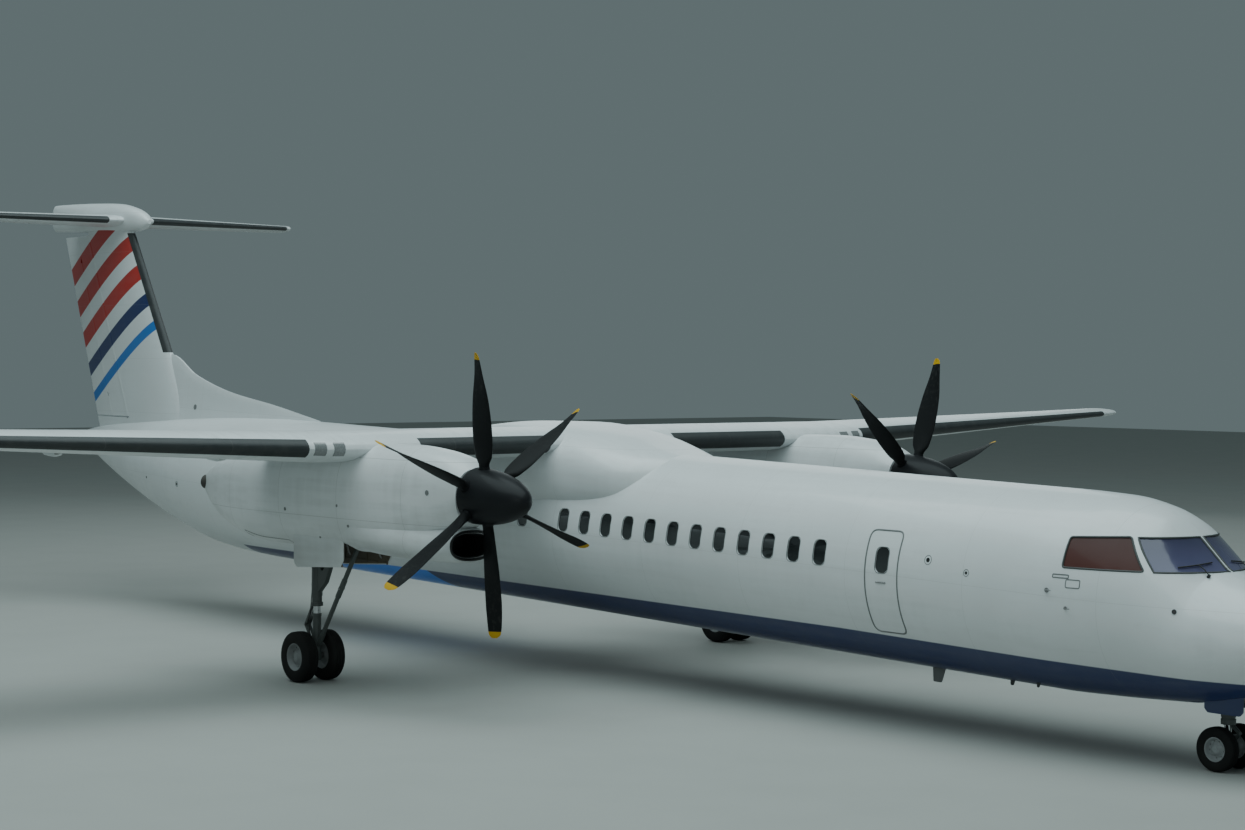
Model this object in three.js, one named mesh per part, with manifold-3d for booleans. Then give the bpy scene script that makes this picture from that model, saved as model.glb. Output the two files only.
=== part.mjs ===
// A twin-engined turboprop airliner with a T-tail, parked on its landing gear.
// Millimetres. +X is forward, +Y is to port and +Z is up. The origin is on the ground, below
// the middle of the airliner's length.
import * as THREE from "three";
import { mergeVertices } from "three/addons/utils/BufferGeometryUtils.js";
import Module from "manifold-3d";

const wasm = await Module();
wasm.setup();

// Driving dimensions
const LENGTH = 32830;
const NOSE_X = LENGTH / 2;
const TAIL_X = -LENGTH / 2;
const HEIGHT = 8340;
const BODY_RADIUS = 1320;
const WHEELBASE = 13940;
const NOSE_WHEEL_X = 14765;
const MAIN_WHEEL_X = NOSE_WHEEL_X - WHEELBASE;
const ENGINE_Y = 4400;
const PROPELLER_X = 5300;
const PROPELLER_Z = 3086;
const PROPELLER_RADIUS = 2055;

// The airliner stands a little nose-down: its body axis drops towards the nose.
const AXIS_X = 9165;
const AXIS_Z = 2140;
const AXIS_SLOPE = -0.0244;
const axisZ = (x) => AXIS_Z + AXIS_SLOPE * (x - AXIS_X);

// Clearances: between fixed pieces that touch, round a pin, and round a moving piece
const TOUCH = 0.4;
const PIN = 0.3;
const FREE = 8;

const PAINT = { color: 0xe4e9ea, roughness: 0.35, metalness: 0.05 };
const GREY = { color: 0x9aa1a3, roughness: 0.5, metalness: 0.2 };
const GLASS = { color: 0x1b2a33, roughness: 0.08, metalness: 0.1 };
const BLACK = { color: 0x16181a, roughness: 0.45, metalness: 0.1 };
const RUBBER = { color: 0x1c1c1d, roughness: 0.85, metalness: 0.0 };
const STEEL = { color: 0x8c9297, roughness: 0.35, metalness: 0.8 };
const NAVY = { color: 0x15204d, roughness: 0.35, metalness: 0.05 };

const airliner = new THREE.Group();

// A closed geometry as a solid that can be joined and cut, turned to face outwards
function solid(geometry) {
  const loose = geometry.index ? geometry.toNonIndexed() : geometry.clone();
  const bare = new THREE.BufferGeometry();
  bare.setAttribute("position", loose.getAttribute("position"));
  const merged = mergeVertices(bare, 0.01);
  const vertProperties = merged.getAttribute("position").array;
  const triVerts = new Uint32Array(merged.index.array);
  const made = new wasm.Manifold(new wasm.Mesh({ numProp: 3, vertProperties, triVerts }));
  if (made.volume() > 0) return made;
  const turned = triVerts.map((_, i) => triVerts[i - (i % 3) + [0, 2, 1][i % 3]]);
  return new wasm.Manifold(new wasm.Mesh({ numProp: 3, vertProperties, triVerts: turned }));
}

const join = (...bodies) => bodies.reduce((all, body) => all.add(body));
const cut = (body, ...tools) => tools.reduce((rest, tool) => rest.subtract(tool), body);
const common = (...bodies) => bodies.reduce((all, body) => all.intersect(body));

function add(name, body, finish, parent = airliner) {
  const made = body.getMesh();
  const geometry = new THREE.BufferGeometry();
  geometry.setAttribute("position", new THREE.BufferAttribute(made.vertProperties, 3));
  geometry.setIndex(new THREE.BufferAttribute(made.triVerts, 1));
  const mesh = new THREE.Mesh(geometry, new THREE.MeshStandardMaterial(finish));
  mesh.name = name;
  parent.add(mesh);
  return mesh;
}

// The same piece on both sides: made to port, mirrored to starboard
function addPair(name, body, finish) {
  add(name + "_port", body, finish);
  add(name + "_starboard", body, finish).scale.y = -1;
}

function box(x0, x1, y0, y1, z0, z1) {
  const geometry = new THREE.BoxGeometry(x1 - x0, y1 - y0, z1 - z0);
  geometry.translate((x0 + x1) / 2, (y0 + y1) / 2, (z0 + z1) / 2);
  return solid(geometry);
}

// A round bar between two points, with its own radius at each end
function bar(from, to, radius, endRadius = radius, sides = 10, start = 0) {
  const a = new THREE.Vector3(...from);
  const b = new THREE.Vector3(...to);
  const length = a.distanceTo(b);
  const geometry = new THREE.CylinderGeometry(endRadius, radius, length, sides);
  geometry.rotateY(start);
  const turn = new THREE.Quaternion().setFromUnitVectors(
    new THREE.Vector3(0, 1, 0),
    b.clone().sub(a).normalize(),
  );
  geometry.applyQuaternion(turn);
  geometry.translate((a.x + b.x) / 2, (a.y + b.y) / 2, (a.z + b.z) / 2);
  return solid(geometry);
}

// A bore in which a bar of as many sides turns; at rest the bar's edges meet the bore's flats
function bore(from, to, radius, sides = 10) {
  const wide = (radius + PIN) / Math.cos(Math.PI / sides);
  return bar(from, to, wide, wide, sides, Math.PI / sides);
}

// An outline in the X-Z plane, pushed from one Y to another
function plate(outline, y0, y1) {
  const shape = new THREE.Shape(outline.map(([x, z]) => new THREE.Vector2(x, z)));
  const geometry = new THREE.ExtrudeGeometry(shape, { depth: y1 - y0, bevelEnabled: false });
  geometry.rotateX(Math.PI / 2);
  geometry.translate(0, y1, 0);
  return solid(geometry);
}

// An outline in the X-Y plane, pushed from one Z to another
function slab(outline, z0, z1) {
  const shape = new THREE.Shape(outline.map(([x, y]) => new THREE.Vector2(x, y)));
  const geometry = new THREE.ExtrudeGeometry(shape, { depth: z1 - z0, bevelEnabled: false });
  geometry.translate(0, 0, z0);
  return solid(geometry);
}

// A turned piece on an axis along Y. Its profile is a closed loop of [radius, y],
// and is widened so that its flats, one of which is lowest, keep the stated radii
function turnedOnY(profile, x, y, z, sides) {
  const wide = 1 / Math.cos(Math.PI / sides);
  const geometry = new THREE.LatheGeometry(
    profile.map(([radius, along]) => new THREE.Vector2(radius * wide, along)),
    sides,
  );
  geometry.rotateY(Math.PI / sides);
  geometry.translate(x, y, z);
  return solid(geometry);
}

// A closed skin through rings of equally many points
function loft(rings) {
  const count = rings[0].length;
  const last = (rings.length - 1) * count;
  const points = rings.flat();
  const faces = [];
  for (let ring = 0; ring < rings.length - 1; ring++)
    for (let i = 0; i < count; i++) {
      const next = (i + 1) % count;
      const [a, b] = [ring * count + i, ring * count + next];
      faces.push([a, b, b + count], [a, b + count, a + count]);
    }
  for (let i = 1; i < count - 1; i++) {
    faces.push([0, i + 1, i]);
    faces.push([last, last + i, last + i + 1]);
  }
  const geometry = new THREE.BufferGeometry().setFromPoints(
    faces.flat().map((corner) => points[corner]),
  );
  return solid(geometry);
}

// Fuselage. Columns: X, half width, top and bottom above the body axis
const RING_POINTS = 28;
const R = BODY_RADIUS;
const BODY = [
  [NOSE_X, 30, -270, -330],
  [NOSE_X - 40, 170, -170, -480],
  [NOSE_X - 150, 300, -90, -620],
  [NOSE_X - 350, 440, 20, -760],
  [NOSE_X - 650, 610, 150, -910],
  [NOSE_X - 1000, 780, 270, -1030],
  [NOSE_X - 1350, 920, 370, -1110],
  [NOSE_X - 1650, 1020, 470, -1170],
  [NOSE_X - 1850, 1075, 640, -1195],
  [NOSE_X - 2080, 1130, 850, -1220],
  [NOSE_X - 2370, 1190, 1080, -1240],
  [NOSE_X - 2700, 1240, 1215, -1262],
  [NOSE_X - 3200, 1285, 1300, -1290],
  [NOSE_X - 4000, R, R, -R],
  [-6500, R, R, -R],
  [-7600, 1265, 1300, -1305],
  [-8700, 1170, 1260, -1240],
  [-10000, 990, 1190, -1030],
  [-11300, 775, 1110, -735],
  [-12500, 570, 1015, -410],
  [-13600, 380, 905, -60],
  [-14500, 210, 790, 260],
  [-15065, 90, 680, 480],
];

function bodyRing([x, halfWidth, top, bottom], inset) {
  const middle = axisZ(x) + (top + bottom) / 2;
  const halfHeight = (top - bottom) / 2 - inset;
  return Array.from({ length: RING_POINTS }, (_, i) => {
    const angle = (2 * Math.PI * i) / RING_POINTS;
    const y = (halfWidth - inset) * Math.cos(angle);
    return new THREE.Vector3(x, y, middle + halfHeight * Math.sin(angle));
  });
}

// The fuselage's skin line at any X, from the two rows round it
function bodyAt(x) {
  const next = BODY.findIndex((row) => row[0] <= x);
  const [before, after] = [BODY[next - 1], BODY[next]];
  const share = (before[0] - x) / (before[0] - after[0]);
  return before.map((value, column) => value + share * (after[column] - value));
}

// The fuselage between two X places, drawn in by an inset
function bodyPart(front, rear, inset = 0) {
  const between = BODY.filter(([x]) => x < front - 1 && x > rear + 1);
  const ends = [front, rear].map((x) => (x >= NOSE_X ? BODY[0] : bodyAt(x)));
  return loft([ends[0], ...between, ends[1]].map((row) => bodyRing(row, inset)));
}

const JOINT = { cockpit: 13000, forward: 8700, center: -3300, aft: -7600, end: -15064 };
const WHOLE_BODY = bodyPart(NOSE_X, JOINT.end);

// Half the thickness of an aerofoil at a part of its chord, per chord
function foilHalf(thickness, part) {
  return 5 * thickness *
    (0.2969 * Math.sqrt(part) - 0.126 * part - 0.3516 * part ** 2 +
      0.2843 * part ** 3 - 0.1015 * part ** 4);
}

// Aerofoil outline in parts of the chord, from the trailing edge over the top and back below
const FOIL = [1, 0.8, 0.55, 0.32, 0.15, 0.05, 0.013, 0];
function aerofoil(thickness, camber) {
  const last = FOIL.length - 1;
  return Array.from({ length: 2 * last + 1 }, (_, i) => {
    const along = FOIL[last - Math.abs(last - i)];
    const half = foilHalf(thickness, along);
    const side = Math.sign(last - i);
    return { along, up: 4 * camber * along * (1 - along) + side * half, side };
  });
}

// Wing. Columns: Y, leading edge X and Z, chord, thickness as a part of the chord
const WING_DROP = 0.028; // how far the trailing edge lies below the leading one, per chord
const WING_CAMBER = 0.02;
const WING = [
  [0, 2865, 3690, 2665, 0.18],
  [5300, 2865, 3690, 2665, 0.18],
  [9700, 2330, 3850, 1950, 0.16],
  [13900, 1820, 4004, 1270, 0.13],
  [14130, 1740, 4012, 1120, 0.11],
  [14210, 1560, 4012, 760, 0.07],
];
const [, WING_BREAK] = WING;

function wingAt(y) {
  const next = WING.findIndex((row) => row[0] >= Math.abs(y));
  if (next <= 0) return [y, ...WING[0].slice(1)];
  const [before, after] = [WING[next - 1], WING[next]];
  const share = (Math.abs(y) - before[0]) / (after[0] - before[0]);
  const row = before.map((value, column) => value + share * (after[column] - value));
  return [y, ...row.slice(1)];
}

function wingRing([y, leadX, leadZ, chord, thickness], grow) {
  return aerofoil(thickness, WING_CAMBER).map(({ along, up, side }) => {
    const x = leadX - along * chord + grow * (1 - 2 * along);
    const z = leadZ + (up - WING_DROP * along) * chord + side * grow;
    return new THREE.Vector3(x, y, z);
  });
}

function wingPart(y0, y1, grow = 0) {
  const between = WING.filter(([y]) => y > y0 + 1 && y < y1 - 1);
  return loft([wingAt(y0), ...between, wingAt(y1)].map((row) => wingRing(row, grow)));
}

// A point on the wing: Y, part of the chord, and -1, 0 or 1 for lower skin, middle or upper skin
function onWing(y, part, skin) {
  const [, leadX, leadZ, chord, thickness] = wingAt(y);
  const half = foilHalf(thickness, part);
  const up = 4 * WING_CAMBER * part * (1 - part) + skin * half - WING_DROP * part;
  return [leadX - part * chord, y, leadZ + up * chord];
}

// Half the wing's thickness at a place
const halfThick = (y, part) => (onWing(y, part, 1)[2] - onWing(y, part, -1)[2]) / 2;

// A flap: the wing behind its hinge line, hung on arms whose pins lie below the lower skin
const FLAP_PART = 0.71;
const FLAP_SLOT = 10;
const PIN_RADIUS = 12;
const FLAP_END = 14;
const ARM = { drop: 55, width: 60, length: 420 };
const LUG_THICK = 30;
// Columns: name, inner Y, outer Y, Y of its two arms
const FLAPS = [
  ["inner", 1560, 3660, 1960, 3260],
  ["outer", 5340, 9560, 6100, 8800],
];

function flapZone(y0, y1, ahead) {
  const corners = [
    [onWing(y0, FLAP_PART, 0)[0] + ahead, y0],
    [onWing(y1, FLAP_PART, 0)[0] + ahead, y1],
    [-2500, y1],
    [-2500, y0],
  ];
  return slab(corners, 3000, 4600);
}

function flapPin(y) {
  const [x, , z] = onWing(y, FLAP_PART, -1);
  return [x + FLAP_SLOT / 2, y, z - ARM.drop];
}

// Pins or bores at both arms, along the one line through them
function armPins([y0, y1], aside, length, make = bar) {
  const [from, to] = [flapPin(y0), flapPin(y1)];
  const span = new THREE.Vector3(...from).distanceTo(new THREE.Vector3(...to));
  return [aside, span + aside].map((at) => pinAlong(from, to, at, length, PIN_RADIUS, make));
}

// The arm is a long fairing below the flap that reaches forward to its pin
function flapArm(y) {
  const [x, , z] = flapPin(y);
  const outline = [
    [x + 30, z - 30],
    [x + 30, z + 30],
    [x - 20, z + 40],
    [x - 40, z + ARM.drop + 40],
    [x - ARM.length, z + ARM.drop + 40],
    [x - ARM.length - 160, z + 50],
    [x - ARM.length, z - 40],
    [x - 150, z - 60],
  ];
  return plate(outline, y - ARM.width / 2, y + ARM.width / 2);
}

// The wing's own lug beside each arm
function flapLug(y) {
  const [x, , z] = flapPin(y);
  const outline = [
    [x + 260, z + ARM.drop + 60],
    [x + 220, z + 30],
    [x + 40, z - 25],
    [x - 20, z - 25],
    [x - 20, z + 20],
    [x + 12, z + 46],
    [x + 12, z + ARM.drop + 60],
  ];
  const side = y + ARM.width / 2 + FREE;
  return plate(outline, side, side + LUG_THICK);
}

// Both lugs of a flap, with the pins that go from them through the arms
function flapHangers(arms) {
  const aside = (FREE + LUG_THICK) / 2;
  const pins = armPins(arms, aside, ARM.width + 2 * aside);
  return join(...arms.map((y) => flapLug(y)), ...pins);
}

// A round nose along a hinge line; with extra it is the longer and wider cove round it
const NOSE_SIDES = 14;
function roundNose(from, to, r0, r1, extra, ends) {
  const a = new THREE.Vector3(...from);
  const b = new THREE.Vector3(...to);
  const reach = b.clone().sub(a).normalize().multiplyScalar(ends);
  const wide = extra ? 1 / Math.cos(Math.PI / NOSE_SIDES) : 1;
  const radii = [r0, r1].map((radius) => (radius + extra) * wide);
  return bar(a.sub(reach).toArray(), b.add(reach).toArray(), ...radii, NOSE_SIDES);
}

// Ailerons turn about the middle of a round nose that the wing's cove follows
const AILERON = { part: 0.74, y0: 9700, y1: 13800, degrees: 20 };
const aileronAxis = [AILERON.y0, AILERON.y1].map((y) => onWing(y, AILERON.part, 0));
const aileronRadius = [AILERON.y0, AILERON.y1].map((y) => halfThick(y, AILERON.part));

function aileronZone(ahead, ends) {
  const [inner, outer] = aileronAxis;
  const corners = [
    [inner[0] + ahead, AILERON.y0 - ends],
    [outer[0] + ahead, AILERON.y1 + ends],
    [-2500, AILERON.y1 + ends],
    [-2500, AILERON.y0 - ends],
  ];
  return slab(corners, 3000, 4800);
}

const aileronNose = (extra, ends) => roundNose(...aileronAxis, ...aileronRadius, extra, ends);

function pinAlong(from, to, at, length, radius, make = bar) {
  const start = new THREE.Vector3(...from);
  const run = new THREE.Vector3(...to).sub(start).normalize();
  const middle = start.clone().addScaledVector(run, at);
  const reach = run.multiplyScalar(length / 2);
  const ends = [middle.clone().sub(reach), middle.clone().add(reach)];
  return make(ends[0].toArray(), ends[1].toArray(), radius);
}

// Pins that stand out of the fixed ribs at both ends of a hinge line, or their bores
function endPins(from, to, length = 110, make = bar) {
  const span = new THREE.Vector3(...from).distanceTo(new THREE.Vector3(...to));
  return [-10, span + 10].map((at) => pinAlong(from, to, at, length, PIN_RADIUS, make));
}

const sine = (degrees) => Math.sin((degrees * Math.PI) / 180);

function flap(y0, y1, arms) {
  const [inner, outer] = [y0 + FLAP_END, y1 - FLAP_END];
  const rear = common(wingPart(inner, outer), flapZone(inner, outer, 0));
  const bores = armPins(arms, 0, 2 * ARM.width, bore);
  return cut(join(rear, ...arms.map((y) => flapArm(y))), ...bores);
}

// Jacking pads: short round bosses with a flat underside. X, Y, Z of the underside
const PAD = { radius: 60, height: 60 };
const [padX, , padSkin] = onWing(2600, 0.3, -1);
const WING_PAD = [padX, 2600, padSkin - 25];
const NOSE_PAD = [12000, 0, axisZ(12000) - BODY_RADIUS - 20];

function jackPad([x, y, z]) {
  return bar([x, y, z], [x, y, z + PAD.height], PAD.radius, PAD.radius, 16);
}

function makeWing() {
  const [inner, outer] = FLAPS;
  for (const [name, y0, y1, ...arms] of FLAPS) addPair("flap_" + name, flap(y0, y1, arms), PAINT);

  const half = cut(wingPart(0, WING_BREAK[0]), flapZone(inner[1], inner[2], FLAP_SLOT));
  const hung = join(half, flapHangers(inner.slice(3)), jackPad(WING_PAD));
  add("wing_center", join(hung, mirrored(hung)), PAINT);

  const sweep = sine(AILERON.degrees) * aileronRadius[0] + FREE;
  const rest = cut(
    wingPart(WING_BREAK[0] + TOUCH, WING.at(-1)[0]),
    flapZone(outer[1], outer[2], FLAP_SLOT),
    aileronZone(sweep, FREE),
    aileronNose(FREE, FREE),
  );
  const held = join(rest, ...endPins(...aileronAxis), flapHangers(outer.slice(3)));
  addPair("wing_outer", held, PAINT);

  const rear = common(wingPart(AILERON.y0, AILERON.y1), aileronZone(0, 0));
  const aileron = cut(join(rear, aileronNose(0, 0)), ...endPins(...aileronAxis, 120, bore));
  addPair("aileron", aileron, PAINT);
}

// The same solid on the other side of the middle plane
function mirrored(body) {
  const made = body.getMesh();
  const position = made.vertProperties.map((value, i) => (i % 3 === 1 ? -value : value));
  const geometry = new THREE.BufferGeometry();
  geometry.setAttribute("position", new THREE.BufferAttribute(position, 3));
  geometry.setIndex(new THREE.BufferAttribute(made.triVerts, 1));
  return solid(geometry);
}

// Wing fairing over the fuselage. Columns: X, half width, top and bottom Z
const FAIRING = [
  [4500, 420, 3560, 3250],
  [4100, 760, 3680, 3160],
  [3500, 1080, 3850, 3040],
  [2900, 1230, 3960, 2960],
  [2200, 1270, 4020, 2930],
  [1000, 1270, 4010, 2940],
  [200, 1230, 3950, 2980],
  [-600, 1090, 3850, 3080],
  [-1400, 800, 3720, 3220],
  [-1900, 460, 3630, 3320],
];

function ellipseRing(x, halfWidth, top, bottom, y = 0, power = 1, lean = 0, count = 20) {
  const middle = (top + bottom) / 2;
  const halfHeight = (top - bottom) / 2;
  const squared = (value) => Math.sign(value) * Math.abs(value) ** power;
  return Array.from({ length: count }, (_, i) => {
    const angle = (2 * Math.PI * i) / count;
    const z = middle + halfHeight * squared(Math.sin(angle));
    const out = halfWidth * squared(Math.cos(angle));
    return new THREE.Vector3(x + lean * (z - PROPELLER_Z), y + out, z);
  });
}

// Doors in the fuselage's skin. Columns: name, side (1 is port), middle X, width, sill Z, height,
// all above the body axis where they are heights
const DOOR_THICK = 90;
const DOORS = [
  ["emergency_exit_forward", -1, 10065, 600, -760, 1390],
  ["passenger_door_aft", 1, -4300, 700, -760, 1640],
  ["service_door_aft", -1, -4300, 690, -760, 1520],
  ["baggage_door_aft", 1, -6300, 1270, -700, 1500],
];
const AIRSTAIR = { x: 9990, width: 760, sill: -820, height: 1660, degrees: 130 };

// A door's outline, with round corners, pushed through one side of the fuselage
function doorway(side, x, width, sill, height, grow) {
  const corner = 110 + grow;
  const [x0, x1] = [x - width / 2 - grow, x + width / 2 + grow];
  const z0 = axisZ(x) + sill - grow;
  const z1 = z0 + height + 2 * grow;
  const shape = new THREE.Shape();
  shape.moveTo(x0 + corner, z0);
  shape.lineTo(x1 - corner, z0);
  shape.absarc(x1 - corner, z0 + corner, corner, -Math.PI / 2, 0);
  shape.lineTo(x1, z1 - corner);
  shape.absarc(x1 - corner, z1 - corner, corner, 0, Math.PI / 2);
  shape.lineTo(x0 + corner, z1);
  shape.absarc(x0 + corner, z1 - corner, corner, Math.PI / 2, Math.PI);
  shape.lineTo(x0, z0 + corner);
  shape.absarc(x0 + corner, z0 + corner, corner, Math.PI, 1.5 * Math.PI);
  const geometry = new THREE.ExtrudeGeometry(shape, {
    depth: 1500,
    bevelEnabled: false,
    curveSegments: 2,
  });
  geometry.rotateX(Math.PI / 2);
  geometry.translate(0, side > 0 ? 1800 : -300, 0);
  return solid(geometry);
}

function plugDoor([name, side, x, ...size], front, rear) {
  const inside = (depth) => bodyPart(front + 50, rear - 50, depth);
  const layer = cut(bodyPart(front, rear), inside(DOOR_THICK));
  const pocket = cut(doorway(side, x, ...size, TOUCH), inside(DOOR_THICK + TOUCH));
  add(name, common(layer, doorway(side, x, ...size, 0)), PAINT);
  return pocket;
}

// The airstair door: hinged on its sill, with steps on its inner face
const hingeY = Math.sqrt(R ** 2 - AIRSTAIR.sill ** 2) + 12;
const hingeZ = axisZ(AIRSTAIR.x) + AIRSTAIR.sill - 14;
const HINGE_PIN = 8.7;
const STEPS = { count: 5, first: 260, pitch: 270, deep: 230, thick: 30, width: 560 };

function airstair() {
  const { x, width, sill, height } = AIRSTAIR;
  const front = x + width;
  const rear = x - width;
  const layer = cut(bodyPart(front, rear), bodyPart(front + 50, rear - 50, DOOR_THICK));
  const leaf = common(layer, doorway(1, x, width, sill, height, 0));
  const steps = Array.from({ length: STEPS.count }, (_, i) => {
    const z = sill + STEPS.first + i * STEPS.pitch;
    const skinY = Math.sqrt(R ** 2 - z ** 2);
    const at = axisZ(x) + z;
    return box(
      x - STEPS.width / 2, x + STEPS.width / 2,
      skinY - DOOR_THICK - STEPS.deep, skinY - DOOR_THICK + 40,
      at, at + STEPS.thick,
    );
  });
  const strings = [-1, 1].map((end) => {
    const y = x + end * (STEPS.width / 2 - 15);
    const shell = cut(
      bodyPart(front, rear, DOOR_THICK - 20),
      bodyPart(front + 50, rear - 50, DOOR_THICK + 90),
    );
    const zone = box(y - 15, y + 15, 300, 1400, axisZ(x) + sill + 120, axisZ(x) + sill + height - 120);
    return common(shell, zone);
  });
  const knuckles = [-250, 250].map((at) => {
    const pin = bar([x + at - 40, hingeY, hingeZ], [x + at + 40, hingeY, hingeZ], 18);
    const foot = box(x + at - 40, x + at + 40, hingeY - 60, hingeY + 10, hingeZ, hingeZ + 70);
    return join(pin, foot);
  });
  const pinBore = bore([x - 400, hingeY, hingeZ], [x + 400, hingeY, hingeZ], HINGE_PIN);
  return cut(join(leaf, ...steps, ...strings, ...knuckles), pinBore);
}

const VESTIBULE = { length: 780, y0: -400, y1: 1040, floor: -800, head: 850 };

function makeFuselage() {
  const wingRoom = wingPart(-1700, 1700, TOUCH);
  const nose = bodyPart(NOSE_X, JOINT.cockpit + TOUCH);
  const forward = bodyPart(JOINT.cockpit, JOINT.forward + TOUCH);
  const center = bodyPart(JOINT.forward, JOINT.center + TOUCH);
  const aft = bodyPart(JOINT.center, JOINT.aft + TOUCH);

  const { x, width, sill, height } = AIRSTAIR;
  const vestibule = box(
    x - VESTIBULE.length / 2, x + VESTIBULE.length / 2,
    VESTIBULE.y0, VESTIBULE.y1, axisZ(x) + VESTIBULE.floor, axisZ(x) + VESTIBULE.head,
  );
  const hingeRoom = box(x - 330, x + 330, hingeY - 110, hingeY + 80, hingeZ - 40, hingeZ + 90);
  const hingePin = bar([x - 360, hingeY, hingeZ], [x + 360, hingeY, hingeZ], HINGE_PIN);
  const cheeks = [-1, 1].map((end) => {
    const at = x + end * 345;
    return box(at - 15, at + 15, hingeY - 160, hingeY + 22, hingeZ - 30, hingeZ + 24);
  });
  const forwardDoor = plugDoor(DOORS[0], 10700, 9400);
  const shell = cut(
    forward,
    doorway(1, x, width, sill, height, FREE),
    vestibule,
    hingeRoom,
    forwardDoor,
  );
  add("fuselage_forward", join(shell, hingePin, ...cheeks, jackPad(NOSE_PAD)), PAINT);
  add("airstair_door", airstair(), PAINT);

  add("fuselage_center", cut(center, wingRoom), PAINT);
  const pockets = DOORS.slice(1).map((row) => plugDoor(row, row[2] + 1000, row[2] - 1000));
  add("fuselage_aft", cut(aft, ...pockets), PAINT);
  const tail = bodyPart(JOINT.aft, JOINT.end);
  add("tail_cone", tail, PAINT);
  makeNose(nose);

  const fairing = loft(FAIRING.map(([at, ...size]) => ellipseRing(at, ...size)));
  const bodyRoom = bodyPart(6000, -2500, -TOUCH);
  add("wing_fairing", cut(fairing, bodyRoom, wingRoom), PAINT);
}

// Nose: cockpit windows let into the skin, and the wheel well. Window corners: X and Z above
// the body axis, seen square from the side
const PANE_THICK = 35;
const SIDE_WINDOW = [
  [NOSE_X - 3320, 795],
  [NOSE_X - 3296, 421],
  [NOSE_X - 2214, 452],
  [NOSE_X - 2532, 850],
];
const SCREEN = { topRear: 2459, footRear: 2111, front: 1500, halfPost: 35, z0: 500, z1: 905 };

// The well's mouth is its front part: the doors behind it are shut and part of the skin
const WELL = { x0: 13750, mouth: 14420, x1: 15260, halfWidth: 330, top: 1400, skin: 24 };

function makeNose(body) {
  const inner = bodyPart(NOSE_X - 1, JOINT.cockpit - 200, PANE_THICK);
  const wellFrom = (x0, x1) => box(x0, x1, -WELL.halfWidth, WELL.halfWidth, 300, WELL.top);
  const rearWell = common(
    wellFrom(WELL.x0, WELL.mouth + 10),
    bodyPart(NOSE_X - 1, JOINT.cockpit - 200, WELL.skin),
  );
  const well = join(wellFrom(WELL.mouth, WELL.x1), rearWell);
  const sideOf = (grow) => {
    const outline = SIDE_WINDOW.map(([x, z], i) => [
      x + grow * (i < 2 ? -1 : 1),
      axisZ(x) + z + grow * (i === 0 || i === 3 ? 1 : -1),
    ]);
    return plate(outline, 300, 1400);
  };
  const screenOf = (grow) => {
    const outline = [
      [NOSE_X - SCREEN.topRear - grow, axisZ(NOSE_X) + SCREEN.z1 + grow],
      [NOSE_X - SCREEN.footRear - grow, axisZ(NOSE_X) + SCREEN.z0 - grow],
      [NOSE_X - SCREEN.front, axisZ(NOSE_X) + SCREEN.z0 - grow],
      [NOSE_X - SCREEN.front, axisZ(NOSE_X) + SCREEN.z1 + grow],
    ];
    return plate(outline, SCREEN.halfPost - grow, 1300);
  };
  const behind = bodyPart(NOSE_X - 1, JOINT.cockpit - 200, PANE_THICK + TOUCH);
  const pockets = [sideOf(TOUCH), screenOf(TOUCH)].map((zone) => cut(zone, behind));
  add("fuselage_nose", cut(body, well, ...pockets, ...pockets.map(mirrored)), PAINT);
  const pane = (zone) => common(cut(body, inner), zone);
  addPair("side_window", pane(sideOf(0)), GLASS);
  addPair("windscreen", pane(screenOf(0)), GLASS);
}

// Nacelle, to port. Columns: X, half width, top and bottom Z
const PROPELLER_TILT = 0.04; // the propeller's axis points a little down, as the body's does
const NACELLE = [
  [5105, 395, 3480, 2695],
  [4850, 445, 3545, 2600],
  [4300, 500, 3620, 2400],
  [3600, 545, 3670, 2210],
  [2800, 570, 3720, 2130],
  [1900, 580, 3745, 2110],
  [900, 575, 3740, 2110],
  [0, 555, 3690, 2110],
  [-800, 480, 3590, 2180],
  [-1600, 330, 3430, 2390],
  [-2000, 230, 3270, 2600],
  [-2250, 150, 3130, 2810],
];
const NACELLE_SQUARE = 0.82;
// Chin intake below the spinner: the same columns
const CHIN = [
  [4960, 400, 2590, 2200],
  [4880, 425, 2620, 2170],
  [4300, 470, 2660, 2130],
  [3500, 520, 2720, 2110],
  [2700, 540, 2800, 2130],
];
const INTAKE = { lip: 45, deep: 620, shrink: 0.8 };
const ENGINE = { x0: 3200, x1: 4780, halfWidth: 300, z0: 2745, z1: 3365, shaft: 120 };
// The well's mouth is round the leg: the doors behind it are shut and part of the skin
const GEAR_WELL = { x0: -700, mouth: 700, x1: 2400, halfWidth: 400, top: 2900, skin: 24 };
// Exhaust: a pipe that opens at the nacelle's tail, a little outboard
const EXHAUST = {
  from: [-1500, ENGINE_Y - 30, 2975],
  to: [-2500, ENGINE_Y + 160, 2985],
  radius: 118,
};

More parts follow.
